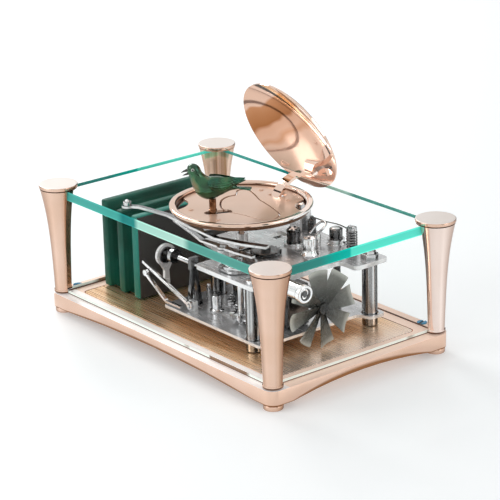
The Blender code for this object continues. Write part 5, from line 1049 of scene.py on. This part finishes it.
def wing(side, rows=64, ribs=24):
    """Between its upper and lower edges a wing bulges outwards, and rows of feathers ripple the far half."""
    top, low = curve_through(WING_TOP, rows), curve_through(WING_LOW, rows)
    v = np.linspace(0.0, 1.0, ribs)[None, :, None]
    plan = low[:, None] * (1 - v) + top[:, None] * v
    v = v[..., 0]
    u = np.linspace(0.0, 1.0, rows)[:, None]
    plan[..., 1] -= WING_DROP[side] * u
    bulge = BULGE * np.sqrt(np.clip(4.0 * v * (1 - v), 0.0, 1.0)) * (1.0 - 0.55 * u)
    feather = RIPPLE * ((v * 5.0 + 1.4 * u) % 1.0) * np.clip((u - 0.25) * 4.0, 0.0, 1.0)
    outer = WING_OUT + bulge - feather * (v > 0.02) * (v < 0.98)
    inner = np.full_like(outer, WING_IN)
    xs = np.concatenate([plan[..., 0], plan[..., 0][:, ::-1]], axis=1)
    zs = np.concatenate([plan[..., 1], plan[..., 1][:, ::-1]], axis=1)
    ys = side * np.concatenate([outer, inner], axis=1)
    points = np.stack([xs, ys, zs], axis=-1).reshape(-1, 3)
    surface = points, grid(rows, 2 * ribs), end_caps(rows, 2 * ribs)
    return moved(surface, degrees=side * WING_TURN[side], about=(2.0, 0.0, 0.0))


rebuild("bird_wing_left", on_bird(wing(1.0)), ENAMEL, ["wing_left"], crease=50.0)
rebuild("bird_wing_right", on_bird(wing(-1.0)), ENAMEL, ["wing_right"], crease=50.0)


TAIL_X, TAIL_Z = -7.4, 54.1


def tail_fan(rows=30, columns=24):
    """A flat fan of feathers: half width grows from 0.8 to 1.5 mm, and its ripple follows the feathers."""
    u = np.linspace(0.0, 1.0, rows)[:, None]
    v = np.linspace(-1.0, 1.0, columns)[None]
    half = 0.8 + 0.7 * u
    x = TAIL_X - 5.8 * u + 0.35 * u * v**2
    ripple = 0.10 * np.abs(np.sin(v * 6.0))
    rise = 0.28 * (1.0 - 0.7 * v**2) + ripple * u
    top = np.stack([x, half * v, TAIL_Z + rise], axis=-1)
    under = np.stack([x, half * v, 53.85 + 0 * rise], axis=-1)[:, ::-1]
    points = np.concatenate([top, under], axis=1).reshape(-1, 3)
    surface = points, grid(rows, 2 * columns), end_caps(rows, 2 * columns)
    return moved(surface, degrees=-7.0, axis="Y", about=(TAIL_X, 0.0, TAIL_Z))


rebuild("bird_tail_fan", on_bird(tail_fan()), ENAMEL, ["tail"], crease=50.0)
print("wing points", len(wing(1.0)[0]), "tail points", len(tail_fan()[0]))

# %% [markdown]
# The eye is a dark bead in a pale ring. The bird stands on a turned bronze tube with a small collar where
# it passes through the stage.

# %% Eyes and tube
EYE_X, EYE_Y, EYE_Z = 6.2, 2.08, 60.9
turns = np.linspace(0, 2 * math.pi, 12, endpoint=False)
ring = [(0.42 + 0.13 * math.cos(t), 0.13 * math.sin(t)) for t in turns]
ball = [(0.36 * math.cos(t), 0.3 * math.sin(t)) for t in np.linspace(-math.pi / 2, math.pi / 2, 12)]
ball[0], ball[-1] = (0.0, ball[0][1]), (0.0, ball[-1][1])
rings = [turned(ring, (EYE_X, side * EYE_Y, EYE_Z), "Y", 28, True) for side in (1, -1)]
balls = [turned(ball, (EYE_X, side * EYE_Y, EYE_Z), "Y", 24) for side in (1, -1)]
rebuild("bird_eye_rings", on_bird(joined(*rings)), WHITE, body="bird")
rebuild("bird_eyes", on_bird(joined(*balls)), HORN, body="bird")

TUBE = [
    (0, 40.8), (0.85, 40.8), (0.85, 43.4), (1.2, 43.4), (1.2, 45.9), (1.42, 46.0), (1.42, 46.5), (1.2, 46.6),
    (1.2, 50.2), (0, 50.2),
]
rebuild("bird_post", turned(TUBE, (POST_X, POST_Y, 0.0), sides=48), BRONZE, ["bird_tube"], crease=40.0)
print("bird done")

# %% [markdown]
# ## The lid
# The lid is a shallow mirror-polished dome on a curved arm that slides down through the stage. It is drawn
# shut, where its height is a simple parabola in the radius, and then swung back about its pin.

# %% Dome
HINGE = (0.0, 25.6, 38.6)
LID_OPEN = -65.0
LID_R, LID_RIM, LID_RISE, LID_WALL = 21.6, 46.0, 3.3, 0.8


def lid_dome(steps=28):
    """Inner height 46 + 3.3 (1 - (r / 21.6)^2), the outer face 0.8 mm over it, and a rounded rim."""
    r = np.linspace(0.0, LID_R, steps)
    inner = LID_RIM + LID_RISE * (1.0 - (r / LID_R) ** 2)
    outer = np.column_stack([r[::-1], inner[::-1] + LID_WALL])
    outer[0] = (21.42, 46.8)
    profile = np.vstack([np.column_stack([r, inner]), [(LID_R, 46.2), (LID_R, 46.6)], outer])
    return moved(turned(profile, sides=160), degrees=LID_OPEN, axis="X", about=HINGE)


print("dome points", len(lid_dome()[0]))

# %% [markdown]
# The hollow side is turned to the camera. A bump shaped as a wide bowl bends its mirror image, as a
# hand-polished sheet does. Tilted bands of colour, set out on the shut lid and carried with it, are a
# painted reflection of the light and dark walls of a room that it would gather, and the hollow glows
# faintly.

# %% Hollow side, arm and bracket
LID_HOLLOW, LID_LEAN = 5.0, (-0.34, 0.0, 0.0)
made = Finish("rose_gold_hollow", "mirror_rose_gold", Metallic=1.0)
hinge = tuple(v * MM for v in HINGE)
swing = (math.radians(-LID_OPEN), 0.0, 0.0)
from_hinge = made.node("VectorMath", {0: made.place, 1: hinge}, operation="SUBTRACT")
shut = made.node("Mapping", {"Vector": from_hinge, "Rotation": swing, "Location": hinge})
flat = made.node("VectorMath", {0: shut, 1: (1.0, 1.0, 0.0)}, operation="MULTIPLY")
height = made.maths("MULTIPLY_ADD", made.dot(flat, flat), LID_HOLLOW, made.dot(shut, LID_LEAN))
wavy = made.spread(made.noise(70.0, detail=1.0), -0.0022, 0.0022)
tilted = made.maths("ADD", made.dot(shut, (-0.56, -1.0, 0.0)), wavy)
# Painted reflection of a room's light and dark walls.
room_reflection_bands = made.ramp(made.spread(tilted, 0.0, 1.0, -0.030, 0.030), [
    (0.00, (0.90, 0.74, 0.65)), (0.40, (1.0, 0.91, 0.86)), (0.49, (0.97, 0.84, 0.77)),
    (0.53, (0.80, 0.57, 0.42)), (0.57, (0.92, 0.75, 0.65)), (0.63, (0.88, 0.69, 0.57)),
    (0.66, (0.50, 0.27, 0.13)), (0.73, (0.60, 0.36, 0.20)), (0.785, (0.70, 0.45, 0.28)),
    (0.80, (1.0, 0.92, 0.88)), (1.00, (1.0, 0.93, 0.89)),
])
HOLLOW = made.coat(room_reflection_bands, (made.noise(300.0), 0.03, 0.06), (height, 1.0, 1.0 / MM), 0.08)
lid = rebuild("domed_lid", lid_dome(), [MIRROR, HOLLOW], ["lid"], crease=40.0)
open_way = np.array([0.0, math.sin(math.radians(LID_OPEN)), -math.cos(math.radians(LID_OPEN))])
inner = of_faces(lid, "normal") @ open_way > 0.6
coat_faces(lid, inner)
print("inner faces", int(inner.sum()))
refine("lid_arm", MIRROR, 0.12)
refine("lid_hinge_bracket", NICKEL, 0.12)
print("lid done")

# %% [markdown]
# ## The bellows
# Two leather bellows stand back to back on one board. Kid leather creases sharply inwards and rounds
# softly outwards, and its corners are gathered. The fold is a wave along the bellows, carried round a
# rounded oblong section.

# %% Bellows
BELLOWS_FOOT, BELLOWS_HALF = 7.45, 21.0


def leather_folds(low_x, high_x, top, folds=2, rows=81, sides=96):
    """Half sizes shrink by depth = 0.15 + 2.1 |sin(folds pi u)|^0.8; the section is a rounded oblong."""
    u = np.linspace(0.0, 1.0, rows)[:, None]
    wave = np.abs(np.sin(np.pi * folds * u)) ** 0.8
    depth = 0.15 + 2.1 * wave * (1.0 - 0.12 * np.cos(2 * np.pi * u))
    t = np.linspace(0.0, 2.0 * np.pi, sides, endpoint=False)[None]
    c, s = np.cos(t), np.sin(t)
    square = (np.abs(c) ** 14 + np.abs(s) ** 14) ** (-1.0 / 14.0)
    low_z, high_z = BELLOWS_FOOT + 0.5 * depth, top - depth
    half_y, half_z, mid_z = BELLOWS_HALF - depth, 0.5 * (high_z - low_z), 0.5 * (high_z + low_z)
    pucker = 1.0 - 0.012 * wave * np.exp(-((np.abs(c * s) - 0.5) ** 2) * 90.0)
    y = half_y * c * square * pucker
    z = mid_z + half_z * s * square * pucker
    x = low_x + (high_x - low_x) * u + 0.0 * t
    return np.stack([x, y, z], axis=-1).reshape(-1, 3), grid(rows, sides), end_caps(rows, sides)


rebuild("reservoir_leather", leather_folds(-49.2, -44.3, 37.6), LEATHER, ["reservoir_folds"], crease=80.0)
rebuild("feeder_leather", leather_folds(-40.2, -35.7, 37.4), LEATHER, ["feeder_folds"], crease=80.0)
refine("reservoir_board", LEATHER, 0.35, 3)
refine("wind_board", LEATHER, 0.3, 3)
two_coats(refine("feeder_board", [TEAL_LEATHER, BOARD], 0.3, 3), 0, 0.7)
print("bellows done")

# %% [markdown]
# ## The movement
# Nickel plates are held apart by turned posts, and the train runs between them. Plates, levers, wheels and
# posts keep their solids' outlines and get soft edges. The bridge of the cross shaft is an open frame, so it
# is drawn anew from its bars.

# %% Plates, castings and train
for node, finish, edge in (
    ("governor_housing", DARK_STEEL, 0.2), ("spring_barrel", STEEL, 0.12),
    ("winding_arbor", DARK_STEEL, 0.08), ("ratchet_click", STEEL, 0.08), ("cam_stack", STEEL, 0.08),
    ("eccentric_strap", EDGE_HIGHLIGHT, 0.1), ("whistle_piston", STEEL, 0.08),
    ("feeder_lever", BRIGHT, 0.1), ("pressure_spring", BRIGHT, 0.08),
    *((f"movement_post_{number}", POST_REFLECTION_STEEL, 0.12) for number in (1, 2, 3, 4)),
):
    refine(node, finish, edge)
two_coats(refine("eccentric_shaft", [STEEL, DARK_STEEL], 0.08), 0, 0.7)
legs = [
    [(-16.9, 25.5), (-15.7, 25.5), (-17.5, 11.4), (-18.8, 11.4)],
    [(-16.3, 25.5), (-15.1, 25.5), (-13.2, 11.4), (-14.5, 11.4)],
    [(-18.8, 11.4), (-13.2, 11.4), (-13.2, 12.5), (-18.8, 12.5)],
    [(-17.7, 24.4), (-14.3, 24.4), (-14.3, 28.8), (-17.7, 28.8)],
]
frame_legs = joined(*[pushed(leg, -7.5, -5.9, "X") for leg in legs])
rebuild("shaft_frame", frame_legs, DARK_STEEL, ["shaft_bridge"], edge=0.1)
# The side faces of the plates and levers take the painted edge highlight.
for node in ("lower_plate", "upper_plate"):
    two_coats(refine(node, [EDGE_HIGHLIGHT, NICKEL], 0.16), 2, 0.7)
for node in ("long_cam_lever", "short_cam_lever"):
    two_coats(refine(node, [EDGE_HIGHLIGHT, STEEL], 0.12), 2, 0.7)
print("bars of the bridge", len(legs))

# %% [markdown]
# The governor fan brakes the train against the air, so that the song runs evenly. Its eight blades are
# paddles that widen outwards and lie flatter at the tip than at the root. They are of smoky resin, which
# lets a little light through and is palest at the tips.

# %% Governor fan
FAN, FAN_R = (44.6, -3.0, 21.5), 13.3
made = Finish("smoky_resin", "smoky_resin", Alpha=0.9, IOR=1.5)
from_hub = made.node("VectorMath", {0: made.place, 1: tuple(v * MM for v in FAN)}, operation="SUBTRACT")
flat = made.node("VectorMath", {0: from_hub, 1: (0.0, 1.0, 1.0)}, operation="MULTIPLY")
span = made.node("VectorMath", {0: flat}, "Value", operation="LENGTH")
reach = made.spread(span, 0.0, 1.0, 0.0, FAN_R * MM)
RESIN = made.coat(made.ramp(reach, [
    (0.05, (0.02, 0.02, 0.018)), (0.40, (0.070, 0.072, 0.062)), (0.85, (0.20, 0.203, 0.180)),
    (0.97, (0.55, 0.56, 0.51)),
]), (made.noise(300.0), 0.18, 0.34))


def fan_blade(turn, rows=26, columns=12, thick=0.34):
    """Chord 2.6 + 4.4 s^0.8; the pitch falls from 26 to 13 degrees, and the blade is cupped by 0.9 mm."""
    s = np.linspace(0.0, 1.0, rows)[:, None]
    v = np.linspace(-0.5, 0.5, columns)[None]
    chord = 2.6 + 4.4 * s**0.8
    pitch = np.radians(26.0 - 13.0 * s)
    out = 1.2 + 12.05 * s - 0.35 * (2 * v) ** 4 * s
    across, lift = chord * v * np.cos(pitch), chord * v * np.sin(pitch) + 0.9 * s * (4.0 * v**2 - 0.5)
    sides = []
    for half in (-0.5, 0.5):
        back = half * thick
        face = np.stack([lift + back * np.cos(pitch), across - back * np.sin(pitch), out + 0 * v], axis=-1)
        sides.append(face if half < 0 else face[:, ::-1])
    points = np.concatenate(sides, axis=1).reshape(-1, 3)
    return moved((points, grid(rows, 2 * columns), end_caps(rows, 2 * columns)), FAN, turn, "X")


blades = [fan_blade(turn) for turn in np.arange(8) * 45.0 + 8.0]
HUB = [(0, -1.5), (1.7, -1.5), (1.9, -1.2), (1.9, 1.2), (1.7, 1.5), (0.9, 1.5), (0.9, 1.8), (0, 1.8)]
hub = turned(HUB, FAN, "X", 40)
ARBOR = [(0, 28.6), (0.8, 28.6), (0.8, 45.9), (0.6, 46.1), (0, 46.1)]
arbor = turned(ARBOR, (0.0, *FAN[1:]), "X", 32)
rebuild("fan_blades", joined(hub, *blades), RESIN, ["governor_fan"], edge=0.05, crease=40.0)
rebuild("fan_arbor", arbor, STEEL, body=BODY_OF["governor_fan"])
print("fan done")

# %% [markdown]
# The whistle is a polished tube with a groove behind its rounded mouth. Inside the mouth lies the curved
# lip that splits the air.

# %% Whistle
WHISTLE = (0.0, -16.4, 31.9)
TUBE_END = [
    (2.2, 34.5), (2.8, 34.5), (2.8, 50.4), (2.62, 50.45), (2.62, 50.85), (3.05, 50.9), (3.05, 52.2),
    (2.98, 52.5), (2.75, 52.68), (2.4, 52.7), (2.1, 52.6), (2.0, 52.3), (2.0, 51.6), (2.2, 51.5),
]
rebuild("whistle_pipe", turned(TUBE_END, WHISTLE, "X", 72, True), BRIGHT, ["whistle_tube"], crease=40.0)
plug = turned([(0, 51.5), (2.05, 51.5), (2.05, 51.9), (0, 51.9)], WHISTLE, "X", 40)
rebuild("whistle_plug", plug, DARK_STEEL, body=BODY_OF["whistle_tube"])


def curl(radius, start, end, high, x=52.0, steps=20):
    """An arc in the mouth of the whistle, thick in its middle and thin at both ends."""
    t = np.radians(np.linspace(start, end, steps))
    y, z = WHISTLE[1] + radius * np.cos(t), WHISTLE[2] + high + radius * np.sin(t)
    path = np.stack([np.full(steps, x), y, z], axis=-1)
    return swept(path, 0.08 + 0.3 * np.sin(np.linspace(0.0, np.pi, steps)), 10, (1, 0, 0))


lip = joined(curl(1.25, -30, 150, 0.25), curl(0.8, 160, 330, -0.55))
rebuild("whistle_lip", lip, BRIGHT, body=BODY_OF["whistle_tube"])
print("whistle done")

# %% [markdown]
# Small turned parts crowd the two plates: collars on the studs, nuts over the posts, and screws with
# slotted or ball heads.

# %% Collars, nuts and screws
UPPER_Z, LOWER_Z = 30.8, 11.4
upper_body, lower_body = BODY_OF["upper_plate"], BODY_OF["lower_plate"]
STUD, CUP, SPRING, SMALL = (10.4, 13.9), (20.6, 24.2), (28.2, 24.6), (-7.0, -9.6)
STUDS = ((-9.6, -13.3), (2.4, -13.6))


def spun(place, sides, *pairs, level=0.0):
    """A turned part that stands at a place: its profile is closed at both ends on its axis."""
    profile = [(0.0, pairs[0][1]), *pairs, (0.0, pairs[-1][1])]
    return turned(profile, (*place, level), sides=sides)


def crown(place, radius, level, count, size):
    """Balls in a ring on top of a nut."""
    ball = [(size * math.cos(t), size * math.sin(t)) for t in np.linspace(-1.45, 1.45, 9)]
    turns = np.arange(count) * 2 * np.pi / count
    spots = [(place[0] + radius * math.cos(t), place[1] + radius * math.sin(t)) for t in turns]
    return [spun(spot, 16, *ball, level=level) for spot in spots]


NUT = ((2.3, 31.6), (2.45, 31.8), (2.3, 33.2), (2.5, 33.6), (2.5, 35.6), (2.2, 36.0), (1.2, 36.1))
dark_cup = spun(CUP, 40, (2.15, 33.0), (2.3, 33.3), (2.3, 36.4), (2.0, 36.6))
FORK = ((1.45, UPPER_Z), (1.55, 31.2), (1.5, 35.4), (1.2, 35.6), (0.7, 35.7), (0.7, 36.6))
fork = spun((5.6, 26.2), 28, *FORK)
dark_nuts = joined(spun(STUD, 40, *NUT), dark_cup, fork, *crown(STUD, 1.7, 36.1, 6, 0.5))
rebuild("dark_nuts", dark_nuts, DARK_STEEL, body=upper_body)
FLARED = ((3.1, UPPER_Z), (3.15, 31.2), (2.5, 32.2), (2.3, 33.0), (2.3, 36.3), (2.0, 36.9), (1.2, 37.15))
collars = joined(
    spun((22.5, 10.8), 48, *FLARED),
    spun(STUD, 48, (3.3, UPPER_Z), (3.4, 31.1), (3.3, 31.6)),
    spun(CUP, 48, (3.1, UPPER_Z), (3.2, 31.2), (2.5, 31.6), (2.5, 32.4), (3.0, 32.5), (3.0, 33.0)),
    spun(CUP, 32, (1.6, 36.6), (1.6, 36.8), (1.4, 36.9)),
    spun((17.6, 19.0), 24, (0.75, UPPER_Z), (0.75, 34.6), (0.6, 34.8)),
    spun((30.5, -20.2), 40, (2.2, UPPER_Z), (2.3, 31.0), (2.3, 31.8), (2.0, 32.0)),
)
rebuild("bright_collars", collars, BRIGHT, body=upper_body, crease=40.0)
POST_NUT = ((3.0, UPPER_Z), (3.1, 31.0), (3.1, 32.4), (2.9, 32.6), (2.3, 32.6), (2.3, 33.3), (2.0, 33.5))
post_nut = spun((38.4, 23.4), 6, *POST_NUT)
rebuild("post_nut", post_nut, STEEL, body=upper_body, edge=0.15)
print("nuts and collars done")

# %% [markdown]
# A bent wire buckle and a thin catch wire cross the upper plate, and a coil spring stands on its stud. More
# studs rise from the lower plate, and one screw with a ball on it stands on the middle board of the bellows.

# %% Wires, coil spring and studs
BUCKLE = [
    (11.2, 20.4, 33.0), (11.0, 23.6, 35.2), (12.0, 25.6, 36.4), (14.6, 25.0, 36.4), (15.4, 22.6, 35.2),
    (14.8, 19.6, 33.0), (14.4, 18.4, 30.9),
]
rebuild("buckle_wire", swept(curve_through(BUCKLE, 60), 0.42, 12), STEEL, body=upper_body)
CATCH = [(5.6, 26.2, 36.4), (12.0, 26.8, 36.2), (20.0, 26.4, 37.0), (27.4, 25.8, 36.6)]
rebuild("spring_wire", swept(curve_through(CATCH, 40), 0.22, 10), DARK_STEEL, body=upper_body)
COIL_R, COIL_WIRE, COIL_TURNS, COIL_PITCH = 1.7, 0.3, 7.0, 0.92
t = np.linspace(0.0, COIL_TURNS * 2.0 * np.pi, 330)
rise = 31.2 + COIL_PITCH * t / (2.0 * np.pi)
coil = np.stack([SPRING[0] + COIL_R * np.cos(t), SPRING[1] + COIL_R * np.sin(t), rise], axis=-1)
rebuild("spring_coil", swept(coil, COIL_WIRE, 10), COIL_STEEL, ["return_spring"], crease=60.0)
spring_body = BODY_OF["return_spring"]
rebuild("spring_stem", spun(SPRING, 24, (0.9, UPPER_Z), (0.9, 37.8)), DARK_STEEL, body=spring_body)
spring_heads = [slotted_head(SPRING, 1.8, 37.6, 38.7, 20.0), *crown(SPRING, 0.9, 38.6, 2, 0.7)]
rebuild("spring_head", joined(*spring_heads), STEEL, body=spring_body, edge=0.08)
rebuild("dark_post", spun((26.2, 19.6), 32, (1.25, LOWER_Z), (1.25, 29.3)), DARK_STEEL, body=lower_body)
SLEEVE = ((2.3, LOWER_Z), (2.4, 11.7), (1.9, 12.1), (1.75, 12.6), (1.75, 16.6), (1.5, 17.0))
sleeves = [spun(spot, 40, *SLEEVE) for spot in STUDS]
small = spun(SMALL, 24, (0.8, LOWER_Z), (0.8, 16.2), (0.6, 16.4))
rebuild("stud_sleeves", joined(*sleeves, small), STEEL, body=lower_body)
tops = [spun(spot, 32, (1.45, 17.0), (1.45, 17.7), (1.2, 17.9)) for spot in STUDS]
rebuild("stud_tops", joined(*tops), DARK_STEEL, body=lower_body)
balls = joined(*crown(STUDS[0], 0.0, 18.3, 1, 0.8), *crown(SMALL, 0.0, 16.9, 1, 0.7))
rebuild("stud_balls", balls, STEEL, body=lower_body)
LEVER_SCREW = (-42.2, -17.2)
slotted = slotted_head(LEVER_SCREW, 1.5, 38.9, 40.2, 60.0)
board_screw = joined(slotted, *crown(LEVER_SCREW, 0.0, 40.1, 1, 0.9))
rebuild("lever_screw", board_screw, STEEL, body=BODY_OF["wind_board"], edge=0.06)
print("small parts done")
